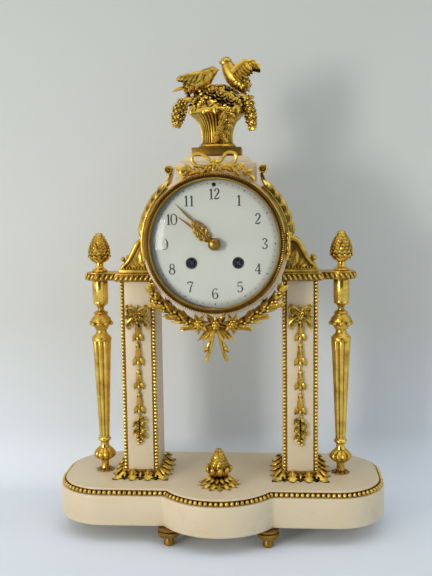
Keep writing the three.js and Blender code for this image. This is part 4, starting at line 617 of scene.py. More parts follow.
def base_beads():
    """Beads on a strip in the rebate, round the front and both ends, open at the back."""
    bm = bmesh.new()
    low, high = span("base_beading")
    strip = bmesh.new()
    path = trace(strip, *base_outline(REBATE_DEPTH - 0.4))
    bmesh.ops.delete(strip, geom=path[:1], context="VERTS")
    lift(strip, bmesh.ops.extrude_edge_only(strip, edges=strip.edges[:])["geom"], low.z, high.z)
    bmesh.ops.recalc_face_normals(strip, faces=strip.faces)
    bmesh.ops.solidify(strip, geom=strip.faces[:], thickness=BASE_STRIP_THICKNESS)
    press(bm, cast(strip), finish=1)
    line = outline_points(*base_outline(REBATE_DEPTH - BASE_BEAD_RADIUS))
    height = (low.z + high.z) / 2
    for point, _ in walk(line[1:], BASE_BEAD_PITCH):
        bead(bm, point + UP * height, BASE_BEAD_RADIUS)
    fit("base_bead_row", bm, "base_beading", BRIGHT_GILT, DULL_GILT)


def marble_pillars():
    """Pillars with their front corners cut back for the bead rows."""
    bm = bmesh.new()
    x0, x1, front, back = pillar_low.x, pillar_high.x, pillar_low.y, pillar_high.y
    notch = STRIP_SIZE + 0.25
    moves = [(x1 - notch, front), (x1 - notch, front + notch), (x1, front + notch), (x1, back), (x0, back),
             (x0, front + notch), (x0 + notch, front + notch)]
    press(bm, slab((x0 + notch, front), moves, pillar_low.z, pillar_high.z, edge=0.45))
    fit_pair("honed_pillar", bm, "pillar", MARBLE)


def pillar_beads():
    """A row of beads up each front corner of a pillar, on a square backing strip."""
    for side in ("outer", "inner"):
        bm = bmesh.new()
        low, high = span(f"pillar_{side}_beading_right")
        inward = -1 if side == "outer" else 1
        corner = high.x if side == "outer" else low.x
        core = sorted((corner + inward * STRIP_CORE_SETBACK, corner + inward * STRIP_SIZE))
        core_low = (core[0], low.y + STRIP_CORE_SETBACK, low.z)
        press(bm, block(core_low, (core[1], high.y, high.z), edge=0.3), finish=1)
        x, y = corner + inward * STRIP_BEAD_RADIUS, low.y + STRIP_BEAD_RADIUS
        for point, _ in walk([(x, y, low.z), (x, y, high.z)], STRIP_BEAD_PITCH):
            bead(bm, point, STRIP_BEAD_RADIUS)
        fit_pair(f"{side}_bead_row", bm, f"pillar_{side}_beading", BRIGHT_GILT, DULL_GILT)


def marble_drum():
    """A bored drum lying on its side, its rims eased."""
    bm = bmesh.new()
    bore = DRUM_RADIUS - DRUM_WALL
    front, back = -drum_low.y, -drum_high.y
    profile = [(bore, front), (DRUM_RADIUS - DRUM_EDGE, front), (DRUM_RADIUS - 0.4, front - 0.4),
               (DRUM_RADIUS, front - DRUM_EDGE), (DRUM_RADIUS, back + DRUM_EDGE),
               (DRUM_RADIUS - DRUM_EDGE, back), (bore, back), (bore, front)]
    press(bm, turned(profile, 96), DIAL_FRAME)
    fit("honed_drum", bm, "drum_case", MARBLE)


def marble_cap():
    """The hollow-moulded block on the drum: the frame's own shape with its arrises eased."""
    bm = bmesh.new()
    bm.from_mesh(frame["nodes"]["cap_block"].data)
    bm.transform(Matrix.Scale(1 / MM, 4))
    bmesh.ops.remove_doubles(bm, verts=bm.verts, dist=0.01)
    bmesh.ops.dissolve_limit(bm, angle_limit=math.radians(1), verts=bm.verts, edges=bm.edges)
    ease(bm, sharper_than=50, offset=0.45, segments=2)
    fit("honed_cap_block", bm, "cap_block", MARBLE)


# Gilt pieces on the base and pillars

def feet():
    """Turned feet with a beaded rim under a broad disc."""
    profile = [(0, 0), (3.4, 0), (4.3, 0.9), (4.3, 2.4), (3.5, 5.8), (4.6, 7), (7.6, 7.6), (8.1, 9.2),
               (8.9, 10.2), (8.9, 11.6), (7.8, 12.4), (8.6, 13.4), (8.6, 14.75), (0, 14.75)]
    rim_radius, rim_height = 7.9, 8.9
    for corner in ("front_left", "front_right", "rear_left", "rear_right"):
        bm = bmesh.new()
        at = Matrix.Translation(middle("foot_" + corner) * Vector((1, 1, 0)))
        press(bm, turned(profile, 28), at)
        for out in around(24):
            press(bm, SMALL_BEAD, at @ place(out * rim_radius + UP * rim_height))
        fit("turned_foot_" + corner, bm, "foot_" + corner, DULL_GILT)


def leaf_frames():
    """Splayed leaves round the foot of a pillar, a larger one at each corner, small leaves in the gaps."""
    bm = bmesh.new()
    low, high = span("pillar_frame_right")
    half = Vector((pillar_high.x - pillar_low.x, pillar_high.y - pillar_low.y, 0)) / 2
    reach = (high.x - low.x) / 2 - half.x
    foot = Vector((PILLAR.x, PILLAR.y, low.z))
    for share, tall in ((0.45, 1.2), (0.2, 3.4), (0.09, 6.4)):
        edge = half + Vector((reach * share, reach * share, 0))
        press(bm, block(foot - edge, foot + edge + UP * tall), finish=1)

    def splay(root, out, length, width, rise):
        along = (out - UP * (rise / length) * 0.8).normalized()
        face = out * 0.6 + UP
        top = foot + root + UP * rise
        press(bm, ACANTHUS, place(top, face, along, (length, width, 8)))
        midrib = top + along * length * 0.36 + UP * 1.5
        press(bm, BEAD, place(midrib, face, along, (length * 0.26, 1.2, 1.1)))

    for out in around(4):
        tangent = Vector((-out.y, out.x, 0))
        on_long_side = abs(out.x) > 0.5
        wall = out * ((half.x if on_long_side else half.y) + 0.2)
        for shift in ((-12, 0, 12) if on_long_side else (-6.6, 6.6)):
            splay(wall + tangent * shift, out, length=reach * 1.5, width=8.4, rise=6)
        for shift in ((-6, 6) if on_long_side else (-13, 0, 13)):
            splay(wall + tangent * shift, out, length=reach * 1.2, width=4.8, rise=2.6)
    for out in around(4, start=math.pi / 4):
        corner = Vector((math.copysign(half.x - 0.6, out.x), math.copysign(half.y - 0.6, out.y), 0))
        splay(corner, out, length=reach * 1.8, width=10, rise=6.4)
    trim(bm, "z", low=low.z)
    fit_pair("leaf_frame", bm, "pillar_frame", MATT_GILT, DULL_GILT)


def pillar_drops():
    """A tied ribbon with small flowers, a chain of split bell flowers and a leafy tassel."""
    bm = bmesh.new()
    low, high = span("pillar_drop_right")
    face, top, foot = high.y, high.z, low.z

    def at(across, height, proud=1.2):
        return Vector((PILLAR.x + across, face - proud, height))

    def leaf(root, turn, along, length, width, thick=5):
        press(bm, LAUREL, place(root, TO_READER + Vector((turn, 0, 0)), along, (length, width, thick)))

    def flower(root, wide, deep):
        press(bm, FLOWER, place(root, TO_READER, UP, (wide, wide, deep)))

    flower(at(0, top - 8, 3), 7, 8)
    bead(bm, at(0, top - 1), 1.3)
    loop = ((0, -6, 2), (4, -2, 2.6), (8.4, -2.4, 2), (7.6, -6.4, 1.6), (2, -7.6, 2))
    tail = ((1, -8, 2), (5, -11, 2.6), (8.6, -16, 1.8), (7, -20, 1.4))
    blooms = ((4.6, -4.6, 5), (7.6, -9.4, 5), (3.4, -13.4, 5), (7.6, -0.8, 4), (7, -16, 4))
    for side in (-1, 1):
        for ribbon, radii in ((loop, [0.9, 1.1, 1.3, 1.1, 0.8]), (tail, [0.9, 1.2, 1.4, 0.6])):
            press(bm, wire([at(side * x, top + z, proud) for x, z, proud in ribbon], radii))
        for x, z, wide in blooms:
            flower(at(side * x, top + z, 2.4), wide, wide * 1.3)
        leaf(at(side * 2, top - 10), 0, (side * 0.9, -0.2, -0.9), 10, 4)
    chain = [at(0.5 * (-1) ** i, top - 14 - 13 * i, 1) for i in range(8)]
    press(bm, wire(chain, [0.9] * len(chain)))
    petals = ((-0.27, 1.2, 0.95), (0.27, 1.2, 0.95), (-0.09, 2.4, 0.86), (0.1, 2.4, 0.9))
    for drop, length in ((14.5, 16), (33, 18), (55.5, 15), (74.5, 17)):
        height = top - drop
        bead(bm, at(0, height + 0.6, 2), 1.5, 1.6, 2)
        for lean in (-0.75, 0.75):
            leaf(at(0, height + 1.4, 1.6), lean, (lean, -0.2, -0.6), 4.6, 2.6, 4)
        for lean, proud, share in petals:
            leaf(at(0, height, proud), lean * 2, (lean, -0.12, -1), length * share, 3.6)
        for lean in (-0.8, 0.8):
            mouth = at(lean * 2.6, height - length * 0.55, 2)
            leaf(mouth, lean * 0.6, (lean * 0.8, -0.3, -1), length * 0.45, 3.6)
        bead(bm, at(0, height - length * 0.8, 2), 1.2, 1.2, 2.6)
    cluster = top - 93
    for i, side in enumerate((-1, 1, -1, 1, -1)):
        leaf(at(0, cluster - 3.2 * i), 0, (side, -0.2, -0.8), 8.6, 4.6)
        leaf(at(0, cluster - 3.2 * i, 2), 0, (-side * 0.5, -0.3, -1), 7, 3.6)
        flower(at(side * 2.8, cluster - 2 - 3.4 * i, 2.2), 5.4, 7)
    for i in range(6):
        bead(bm, at(1.2 * (-1) ** i, foot + 1.8 + 1.7 * i, 1.8), 1.5)
    trim(bm, "y", high=face)
    fit_pair("flower_drop", bm, "pillar_drop", MATT_GILT)


def cornices():
    """Arms with a slanting gadrooned edge, from the drum over the pillar to a ring round the column."""
    bm = bmesh.new()
    low, high = span("cornice_right")
    front, back = low.y + GADROON_RELIEF, high.y - GADROON_RELIEF
    inner, outer = pillar_low.x + 0.2, pillar_high.x + 2.6
    near, far = COLUMN.y - CORNICE_ARM, COLUMN.y + CORNICE_ARM
    ring = high.x - GADROON_RELIEF - COLUMN.x
    sweep = math.asin(CORNICE_ARM / ring)
    moves = [(outer, front), (outer, near), (COLUMN.x - ring * math.cos(sweep), near),
             (COLUMN.x, COLUMN.y, 360 - 2 * math.degrees(sweep)), (outer, far), (outer, back), (inner, back)]
    outline = (inner, front), moves
    press(bm, slab(*outline, low.z, high.z - 1, edge=0.3), finish=1)
    height = (low.z + high.z) / 2 - 0.4
    slant = math.tan(math.radians(GADROON_SLANT))
    lobe = (3.5, GADROON_PITCH * 0.32, GADROON_RELIEF)
    for point, ahead in walk(outline_points(*outline), GADROON_PITCH):
        outward = Vector((ahead.y, -ahead.x, 0))
        press(bm, BEAD, place(point + UP * height, outward, UP - ahead * slant, lobe))
    press(bm, slab(*outline, high.z - 1.1, high.z, edge=0.4))
    fit_pair("gadrooned_cornice", bm, "cornice", MATT_GILT, DULL_GILT)


def columns():
    """Turned columns: a burnished fluted shaft between a ribbed bulb and a leaf knop, under a plain drum."""
    bm = bmesh.new()
    low, high = span("column_right")
    at = Matrix.Translation((COLUMN.x, COLUMN.y, low.z))
    tall = high.z - low.z
    stem = [(0, 0), (4.4, 0), (3.4, 1.6), (3.2, 7.6), (3.8, 8.8), (3.8, 10), (0, 10)]
    bulb = [(0, 8.6), (3.6, 8.8), (7.2, 10.6), (9.2, 13), (9.4, 15), (7.4, 17.8), (4.6, 20.2), (0, 20.4)]
    collar = [(0, 19), (4.4, 20), (3.6, 22.2), (3.6, 24.6), (5.2, 26), (5.6, 27), (5.2, 28.2), (4.3, 28.8),
              (4.3, 30), (0, 30)]
    upper = [(0, 112), (8, 112), (8.2, 113.6), (8, 115), (7.2, 116), (4.8, 118.2), (4.4, 120.4), (4.6, 123),
             (7, 125.6), (8.2, 128), (7.8, 131.4), (5.6, 133.4), (5.4, 134.6), (6.2, 135.4), (5.4, 136.4),
             (2.8, 137.6), (2.5, 139.4), (3.2, 141), (5.4, 142.6), (6.5, 143.6), (0, 143.6)]
    plain = [(0, 143.4), (6.5, 143.6), (6.1, 144.2), (6.1, 146), (6.5, 146.6), (6.5, tall - 1), (6, tall),
             (0, tall)]
    shaft = [(0, 29), (4.2, 29), (4.3, 31), (5.2, 52), (6.4, 80), (7.4, 102), (8, 111), (7.6, 113), (0, 113)]
    press(bm, turned(stem, 32), at, 1)
    press(bm, turned(bulb, 80, flutes=10, depth=0.16), at)
    press(bm, turned(collar, 32), at, 1)
    press(bm, turned(upper, 40), at)
    press(bm, turned(plain, 40), at, 1)
    press(bm, turned(shaft, 80, flutes=8, depth=0.2), at, 1)
    for out in around(9):
        foot_leaf = place(out * 3 + UP * 1.6, out * 0.2 + UP, out - UP * 0.16, (5.6, 4.6, 3))
        press(bm, ACANTHUS, at @ foot_leaf, 2)
    for out in around(8):
        hanging_leaf = place(out * 5 + UP * 133, out + UP * 0.9, out - UP * 0.9, (7.4, 6.4, 4))
        press(bm, WATER_LEAF, at @ hanging_leaf)
        press(bm, BEAD, at @ place(out * 8.3 + UP * 126.8, out, UP, (1.9, 2.7, 1.9)))
        rising_leaf = place(out * 4.2 + UP * 121.2, out - UP * 0.5, out * 0.7 + UP, (6, 4.6, 3))
        press(bm, WATER_LEAF, at @ rising_leaf)
    fit_pair("turned_column", bm, "column", MATT_GILT, BRIGHT_GILT, DULL_GILT)


def cone(bm, at, profile, height, rows, scales):
    """A pine cone standing on z 0: rows of overlapping scales with beaded tips, on a turned body."""
    shares = [i / 12 for i in range(13)]
    body = [(between(profile, share) * 0.9, share * height * 0.96) for share in shares]
    press(bm, turned([(0, 0), *body, (0, height * 0.97)], 24), at)
    for row in range(rows):
        share = 0.03 + 0.87 * row / (rows - 1)
        girth = between(profile, share)
        lean = (between(profile, share + 0.06) - between(profile, share - 0.06)) / (0.12 * height)
        count = max(6, round(scales * girth / max(profile)))
        length = height / rows * 1.5
        width = math.tau * girth / count
        for out in around(count, (row % 2) * math.pi / count):
            root = out * girth * 0.9 + UP * (share * height)
            rising = (UP + out * (lean + 0.12)).normalized()
            press(bm, SCALE, at @ place(root, out - UP * lean, rising, (length, width, 2.4)))
            tip = root + rising * length * 0.6 + out * 0.3
            press(bm, SMALL_BEAD, at @ place(tip, size=[width * 0.3] * 3))


def column_finials():
    """Pine cones on small turned feet."""
    bm = bmesh.new()
    low, high = span("column_finial_right")
    at = Matrix.Translation((COLUMN.x, COLUMN.y, low.z))
    foot = [(0, 0), (6.4, 0), (6.6, 0.8), (6, 1.7), (4.2, 2.8), (3.2, 4.6), (3.1, 6.8), (4, 7.8), (0, 8.4)]
    press(bm, turned(foot, 28), at, 1)
    tall = high.z - low.z - FINIAL_FOOT_HEIGHT
    cone(bm, at @ Matrix.Translation(UP * FINIAL_FOOT_HEIGHT), PINE_CONE, tall, rows=9, scales=14)
    fit_pair("pine_cone", bm, "column_finial", MATT_GILT, BRIGHT_GILT)


def base_pinecone():
    """A beaded cone in a calyx of bulging petals, over a rosette of leaves, on the bow of the base."""
    bm = bmesh.new()
    low, high = span("base_pinecone")
    spot = middle("base_pinecone")
    at = Matrix.Translation((spot.x, spot.y, low.z))
    reach = (high.x - low.x) / 2
    foot = [(0, 0), (10.5, 0), (9.6, 1.2), (6.4, 3), (5, 5), (4.6, 8), (7.6, 11), (8.6, 14), (0, 15)]
    press(bm, turned(foot, 32), at)
    for out in around(13):
        spread_leaf = place(out * 3.4 + UP * 4.6, out * 0.3 + UP, out - UP * 0.14, (reach + 1.4, 7, 6))
        press(bm, ACANTHUS, at @ spread_leaf)
        press(bm, BEAD, at @ place(out * (reach - 2) + UP * 1.2, UP, out, (1.8, 1, 1)))
    for out in around(13, start=math.pi / 13):
        upper_leaf = place(out * 3 + UP * 6.4, out * 0.2 + UP, out - UP * 0.1, (reach * 0.66, 4, 6))
        press(bm, LAUREL, at @ upper_leaf)
    for out in around(9):
        petal = place(out * 4.4 + UP * 6.6, out - UP * 0.8, out * 0.95 + UP, (10.4, 7, 5))
        press(bm, WATER_LEAF, at @ petal)
        swelling = place(out * 8.8 + UP * 12.6, out - UP * 0.4, UP + out * 0.2, (3.4, 2.4, 2))
        press(bm, BEAD, at @ swelling)
    tall = high.z - low.z - CALYX_HEIGHT
    cone(bm, at @ Matrix.Translation(UP * CALYX_HEIGHT), CONE_IN_CALYX, tall, rows=7, scales=16)
    trim(bm, "z", low=low.z)
    fit("rosette_pine_cone", bm, "base_pinecone", MATT_GILT)


# Gilt pieces round the drum

def scroll_brackets():
    """An S-shaped bracket from the cornice up to the drum: a rib round a leafy web, and a small curl."""
    bm = bmesh.new()
    low, high = span("scroll_bracket_right")
    depth = high.y - low.y
    mid_y = (low.y + high.y) / 2
    seat, end = low.z, high.x
    upright = Matrix.Translation((0, mid_y, 0)) @ Matrix.Rotation(math.radians(90), 4, "X")
    rib = [(57.4, seat + 26.2), (end - 19.4, seat + 26.5), (end - 16, seat + 24.6),
           (end - 12.4, seat + 18.8), (end - 9.4, seat + 12.8), (end - 6, seat + 8), (end - 2.4, seat + 4.8),
           (end - 1.4, seat + 2)]
    web = [(end - 2, seat)] + [(x - 1, z - 0.6) for x, z in reversed(rib)]
    web += [(57.6, seat + 17), (55.6, seat + 8)]
    half_web = depth / 2 - 2
    press(bm, slab((low.x + 2.6, seat), web, -half_web, half_web, edge=0.5), upright, 1)
    press(bm, block((low.x + 0.8, low.y, seat), (end, high.y, seat + 3)))
    for y in (low.y + 1.7, high.y - 1.7):
        rail = [(x, y, z) for x, z in rib]
        press(bm, wire(rail, [1.3, 1.7, 1.9, 1.9, 1.8, 1.6, 1.4, 1.2], sides=3))
    press(bm, wire(rib, [0.9] * len(rib), band=depth - 5), upright)
    for y in (low.y + 3, high.y - 3):
        knob = (end - 3, y, seat + 11.2)
        bead(bm, knob, 2, 2.4, 2)
        press(bm, wire([(end - 5.4, y, seat + 8), knob], [1.1, 0.9]))
    leaves = ((60.4, 0.18, 1, (20, 10, 8)), (63.4, 0.75, 1, (13, 6.4, 7)), (65, 1, 0.3, (11, 5, 6)))
    for y, side in ((low.y, -1), (high.y, 1)):
        front = Vector((0, side, 0))
        for x, outward, rise, size in leaves:
            root = (x, y - side * 2, seat + 3.4)
            press(bm, ACANTHUS, place(root, front, (outward, side * 0.05, rise), size))
        press(bm, FLOWER, place((60, y - side * 1.4, seat + 9.4), front, UP, (6.4, 6.4, 7)))
        for i in range(9):
            row = (57.4 + 2.4 * i, y - side * 0.6, seat + 3.9)
            press(bm, SMALL_BEAD, place(row, size=(0.9, 0.9, 0.9)))
    fit_pair("scroll", bm, "scroll_bracket", MATT_GILT, DULL_GILT)


def side_mounts():
    """Bands up the drum's shoulders, set back from its edge, each with long leaves, a stem and a scroll."""
    bm = bmesh.new()
    low, high = span("side_mount_right")
    inner, outer = DRUM_RADIUS + 0.2, DRUM_RADIUS + 2.4
    rim, lap = inner + 0.6, DRUM_RADIUS - 1.5
    edge, lip = -drum_low.y + 0.1, -drum_low.y + 1.2
    front, back = edge - SHOULDER_SETBACK, -high.y
    first, last, rim_first = (math.radians(v) for v in (SHOULDER_FROM, SHOULDER_TO, SHOULDER_RIM_FROM))

    def at(radius, angle):
        return (radius * math.cos(angle), radius * math.sin(angle))

    for start, near, far, under, over, eased in (
            (first, inner, outer, back, front, 0.4),
            (rim_first, inner, rim, front - 1, edge, 0.2),
            (rim_first, lap, rim, edge, lip, 0.4)):
        sweep = math.degrees(last - start)
        moves = [at(far, start), (0, 0, sweep), at(near, last), (0, 0, 0.5 - sweep)]
        press(bm, slab(at(near, start), moves, under, over, eased), DIAL_FRAME)
    eye = Vector((low.x + 3.8, high.z - 3.8 - DIAL_Z))
    bends = ((2.6, -10), (-0.2, -3), (-2.6, 1.2), (-2.9, -4), (-1.6, -9.4))
    stem = [(eye.x + x, eye.y + z) for x, z in bends] + [at(inner, last - 0.05)]
    stem_front = back + 12
    press(bm, slab(at(outer, last - 0.05), stem, back, stem_front, edge=0.5), DIAL_FRAME)
    scroll = [(0, 1.4), (1, 1.3), (1.3, 0.4), (2.2, 0.5), (2.6, 1.2), (3.3, 0.8), (3.6, -0.4), (3.6, -1.6)]
    profile = [(radius, stem_front + rise) for radius, rise in scroll]
    profile += [(3.6, back + 0.6), (3, back), (0, back)]
    press(bm, turned(profile, 24), DIAL_FRAME @ Matrix.Translation((eye.x, eye.y, 0)))
    # Rows of leaves from front to back: set back, turned to the reader, raised, moved ahead, width
    rows = ((0, -1.4, 0.32, 0, 6.2), (4, -0.5, 0.3, 4, 5.6), (10, 0, 0.16, 0, 7), (17, 0.2, 0.12, 4, 7))
    for turn in (5, 13, 21, 29, 37):
        angle = math.radians(turn)
        out = Vector((math.cos(angle), 0, math.sin(angle)))
        ahead = Vector((-out.z, 0, out.x))
        for setback, tilt, lean, shift, wide in rows:
            root = out * (outer - 0.6) + ahead * shift + Vector((0, setback - front, DIAL_Z))
            face = out + Vector((0, tilt, 0))
            press(bm, FEATHER, place(root, face, ahead + out * lean, (13.2, wide, 5.4)))
    clear_dial_axis(bm, inner, behind=drum_low.y - 0.05)
    trim(bm, "y", high=high.y)
    fit_pair("leaf_shoulder", bm, "side_mount", BRIGHT_GILT)


def ribbon_bow():
    """A ribbon tied in a bow over the dial, its curling tails and leaves lying along the drum's edge."""
    bm = bmesh.new()
    low, high = span("ribbon_bow")
    y = (low.y + high.y) / 2
    knot = DIAL_Z + RIBBON_KNOT
    loops = {
        -1: [(0.6, 0.2), (4, 3.4), (8, 6.6), (12, 7.8), (15.6, 6.6), (16.8, 3.6), (15.4, 0.4), (11.6, -1.8),
             (6, -2), (1.6, -0.8)],
        1: [(0.6, 0.2), (5, 1.8), (7.4, 5), (9.6, 7.8), (13, 8.4), (16.2, 7), (17, 3.8), (15.2, 0.4),
            (10.6, -1.6), (1.6, -0.8)],
    }
    tails = {
        -1: [(1, -1), (6, -4.2), (11, -6.6), (16, -5.4), (22, -3.4), (25.4, -5.4), (24.4, -8), (19.6, -6.8)],
        1: [(1, -1), (7, -3.6), (12.6, -2.4), (17, -5.2), (21.6, -3.6), (24.6, -7.4), (29.6, -10)],
    }
    for side in (-1, 1):
        loop = [(side * x, y, knot + z) for x, z in loops[side]]
        press(bm, wire(loop, [0.8] + [1.3] * (len(loop) - 2) + [0.8]))
        tail = [(side * x, y + 0.3, knot + z) for x, z in tails[side]]
        press(bm, wire(tail, [0.8] + [1.5] * (len(tail) - 2) + [0.9]))
        for i, (point, ahead) in enumerate(walk(tail, pitch=3.6)):
            lean = UP * (0.9 if i % 2 else -0.9)
            press(bm, LAUREL, place(point + TO_READER * 0.5, TO_READER, ahead + lean, (6.4, 3.6, 4)))
            bead(bm, point + TO_READER * 0.8 + lean, 1.1, 0.9, 1.1)
    bead(bm, (0, y, knot), 2.6, 1.4, 2.4)
    for turn in around(6, start=0.4):
        press(bm, LAUREL, place((0, y - 0.6, knot), TO_READER, (turn.x, -0.2, turn.y), (5.4, 3, 3)))
    press(bm, block((-1.4, low.y + 0.6, DIAL_Z + 55), (1.4, high.y, knot), edge=0.4))
    trim(bm, "y", low.y - 0.6, high.y)
    fit("tied_ribbon", bm, "ribbon_bow", MATT_GILT)


def laurel_swag():
    """Two laurel festoons with berries, hung from the drum's sides and tied under the dial."""
    bm = bmesh.new()
    low, high = span("laurel_swag")
    y = low.y + 2.4
    knot = Vector((0, y, DIAL_Z + SWAG_KNOT))
    stems = [(0, SWAG_KNOT), (13, -65), (20, -62.5), (26, -59.5), (33, -54.5), (40, -49.5), (46.5, -44),
             (51, -34)]
    sprays = ((8, 10, 12), (5, 4.5, 10), (13, -3, 11), (14.5, -12.5, 20), (10.6, -13, 17), (6.6, -15, 16))
    for side in (-1, 1):
        path = [Vector((side * x, y, DIAL_Z + z)) for x, z in stems]
        press(bm, wire(path, [1.2] * len(path)))
        stops = walk(path[1:], pitch=7.6)
        for i, (point, ahead) in enumerate(stops):
            full = 1 if i < len(stops) - 2 else 0.62
            across = ahead.cross(TO_READER) * side
            sway = 0.25 * (-1) ** i
            leaves = ((-1.1, 0.4, 11), (1.1, 0.4, 14), (-0.45, 1.2, 13), (0.5, 2, 14), (sway, 3, 12),
                      (1.8, 1, 8))
            for lean, proud, length in leaves:
                along = ahead + across * (lean + sway) + TO_READER * 0.16
                face = TO_READER + across * lean * 0.5
                press(bm, LAUREL, place(point + TO_READER * proud, face, along, (length * full, 4.4, 5)))
            for shift in (-1.9, 0.3, 2.1):
                bead(bm, point + TO_READER * 3.4 + across * shift - ahead * (0.5 + abs(shift)), 1.35)
        bunch = Vector((side * 13.5, y - 2.6, DIAL_Z - 62.5))
        for turn in around(7, start=0.3):
            spread = Vector((turn.x * side, 0, turn.y))
            press(bm, LAUREL, place(bunch, TO_READER, spread + TO_READER * 0.15, (9, 4.4, 5)))
            bead(bm, bunch + spread * 2.4 + TO_READER * 1.4, 1.5)
        bead(bm, bunch + TO_READER * 2.4, 1.9)
        for x, z, length in sprays:
            root = knot + TO_READER * 0.6
            press(bm, LAUREL, place(root, TO_READER + UP * 0.2, (side * x, -0.8, z), (length, 4.6, 6)))
        bends = ((0, 0, 0), (2.6, -1, -9), (4.8, -0.6, -19), (8, 0, -28.4))
        stalk = [knot + Vector((side * dx, dy, dz)) for dx, dy, dz in bends]
        press(bm, wire(stalk, [1.2, 1.3, 1.2, 1.9]))
        bud = knot + Vector((side * 7.6, -0.8, -18.6))
        press(bm, wire([knot + Vector((side * 3, -0.8, -8)), bud], [0.9, 0.9]))
        bead(bm, bud, 1.9)
        press(bm, LAUREL, place(bud + UP, TO_READER, (side * 0.5, -0.2, -1), (5, 3.4, 4)))
    for turn in around(6):
        bead(bm, knot + Vector((turn.x * 2, -2.2, turn.y * 2.4)), 1.5, 1.3, 1.6)
    bead(bm, knot + TO_READER * 2.8, 1.9, 1.7, 2.1)
    press(bm, wire([knot, Vector((-0.8, y, DIAL_Z - DRUM_RADIUS - 0.2))], [1.6, 1.3]))
    clear_dial_axis(bm, span("seat_ring")[1].z - DIAL_Z + 0.4)
    for vert in bm.verts:
        if math.hypot(vert.co.x, vert.co.z - DIAL_Z) < DRUM_RADIUS + 0.4:
            vert.co.y = min(vert.co.y, drum_low.y - 0.2)
    trim(bm, "y", low.y - 4, high.y)
    fit("laurel_festoons", bm, "laurel_swag", MATT_GILT)


# Upright hinges

def rod(radius, low, high, bore=0, waist=()):
    """The profile of an upright rod with eased ends, or of a tube with a bore; a waist is turned into it."""
    profile = [(bore, low), (radius - 0.3, low), (radius, low + 0.4), *waist, (radius, high - 0.4),
               (radius - 0.3, high), (bore, high)]
    return profile + profile[:1] if bore else profile


def hinge_ears(bm, x, y, leaf_low, leaf_high):
    """The two ears that hold the pin of a hinge at x, y; their leaves lie between two corners in plan."""
    at = Matrix.Translation((x, y, DIAL_Z))
    for side in (-1, 1):
        low, high = sorted((side * EAR_NEAR, side * EAR_FAR))
        press(bm, turned(rod(KNUCKLE_RADIUS, low, high), 20), at)
        press(bm, block((*leaf_low, DIAL_Z + low), (*leaf_high, DIAL_Z + high), edge=0.2))
    press(bm, turned(rod(PIN_RADIUS, -PIN_HALF, PIN_HALF), 16), at)


def hinge_knuckle(bm, x, y, ring, leaf_y, waist=(), finish=0):
    """The tube that turns on the pin of a hinge at x, y; its leaf reaches to a ring of that radius."""
    tube = rod(KNUCKLE_RADIUS, -KNUCKLE_HALF, KNUCKLE_HALF, KNUCKLE_BORE, waist)
    press(bm, turned(tube, 20), Matrix.Translation((x, y, DIAL_Z)), finish)
    leaf_low = (ring - 1.5, leaf_y, DIAL_Z - HINGE_LEAF_HALF)
    leaf_high = (x - 1.3, leaf_y + 2, DIAL_Z + HINGE_LEAF_HALF)
    press(bm, block(leaf_low, leaf_high, edge=0.2), finish=finish)


# Dial, glass and hands

def seat_ring():
    """The gilt ring that holds the dial, with two ears for the bezel's hinge."""
    bm = bmesh.new()
    low, high = span("seat_ring")
    opening, ledge, spigot, outer = 46.3, 39.5, 48.7, -low.x
    front, shoulder, dial_back, back = 35.75, 33.3, 29.7, 27.3
    profile = [(opening, front), (outer - 0.6, front), (outer, front - 0.6), (outer, shoulder),
               (spigot, shoulder), (spigot, back), (ledge, back), (ledge, dial_back), (opening, dial_back),
               (opening, front)]
    press(bm, turned(profile, 96), DIAL_FRAME)
    x, y = high.x - KNUCKLE_RADIUS, low.y + KNUCKLE_RADIUS
    hinge_ears(bm, x, y, (53.7, y - 0.2), (x + 1, -shoulder - 0.3))
    fit("turned_seat_ring", bm, "seat_ring", BRIGHT_GILT)


def bezel():
    """The glazed door's ring: a milled outer edge, a groove and an inner ring, with its hinge knuckle."""
    bm = bmesh.new()
    low, high = span("bezel_ring")
    outer = -low.x
    back, front = -high.y, -low.y
    glass = span("bezel_glass")[1].x
    groove, opening = glass + 0.9, glass - 1
    milled = [(groove, back), (outer, back), (outer, front - 2.2), (outer - 0.5, front - 1.9),
              (groove, front - 1.9), (groove, back)]
    plain = [(glass + 0.4, back), (glass + 1, back), (groove, front - 2.6), (glass + 0.4, front - 0.4),
             (opening + 0.8, front), (opening + 0.2, front - 0.5), (opening, front - 1.8),
             (opening, front - 2.2), (glass + 0.4, front - 2.2), (glass + 0.4, back)]
    press(bm, turned(milled, 120), DIAL_FRAME, 2)
    press(bm, turned(plain, 120), DIAL_FRAME, 2)
    # The real milling is about twice as fine; it is drawn coarser so that it stays visible at arm's length.
    for out in around(round(math.tau * outer / MILLING_PITCH)):
        tip = out * (outer - 0.4) + UP * (front - 1)
        press(bm, SMALL_BEAD, DIAL_FRAME @ place(tip, UP, out, (1.5, 0.56, 1.4)))
    x, y = high.x - KNUCKLE_RADIUS, BEZEL_HINGE_Y
    waist = [(KNUCKLE_RADIUS, -2.2), (KNUCKLE_WAIST, -2), (KNUCKLE_WAIST, 2), (KNUCKLE_RADIUS, 2.2)]
    hinge_knuckle(bm, x, y, outer, y - 1, waist, 1)
    fit("milled_bezel", bm, "bezel_ring", MILLED_GILT, BRIGHT_GILT, DULL_GILT)


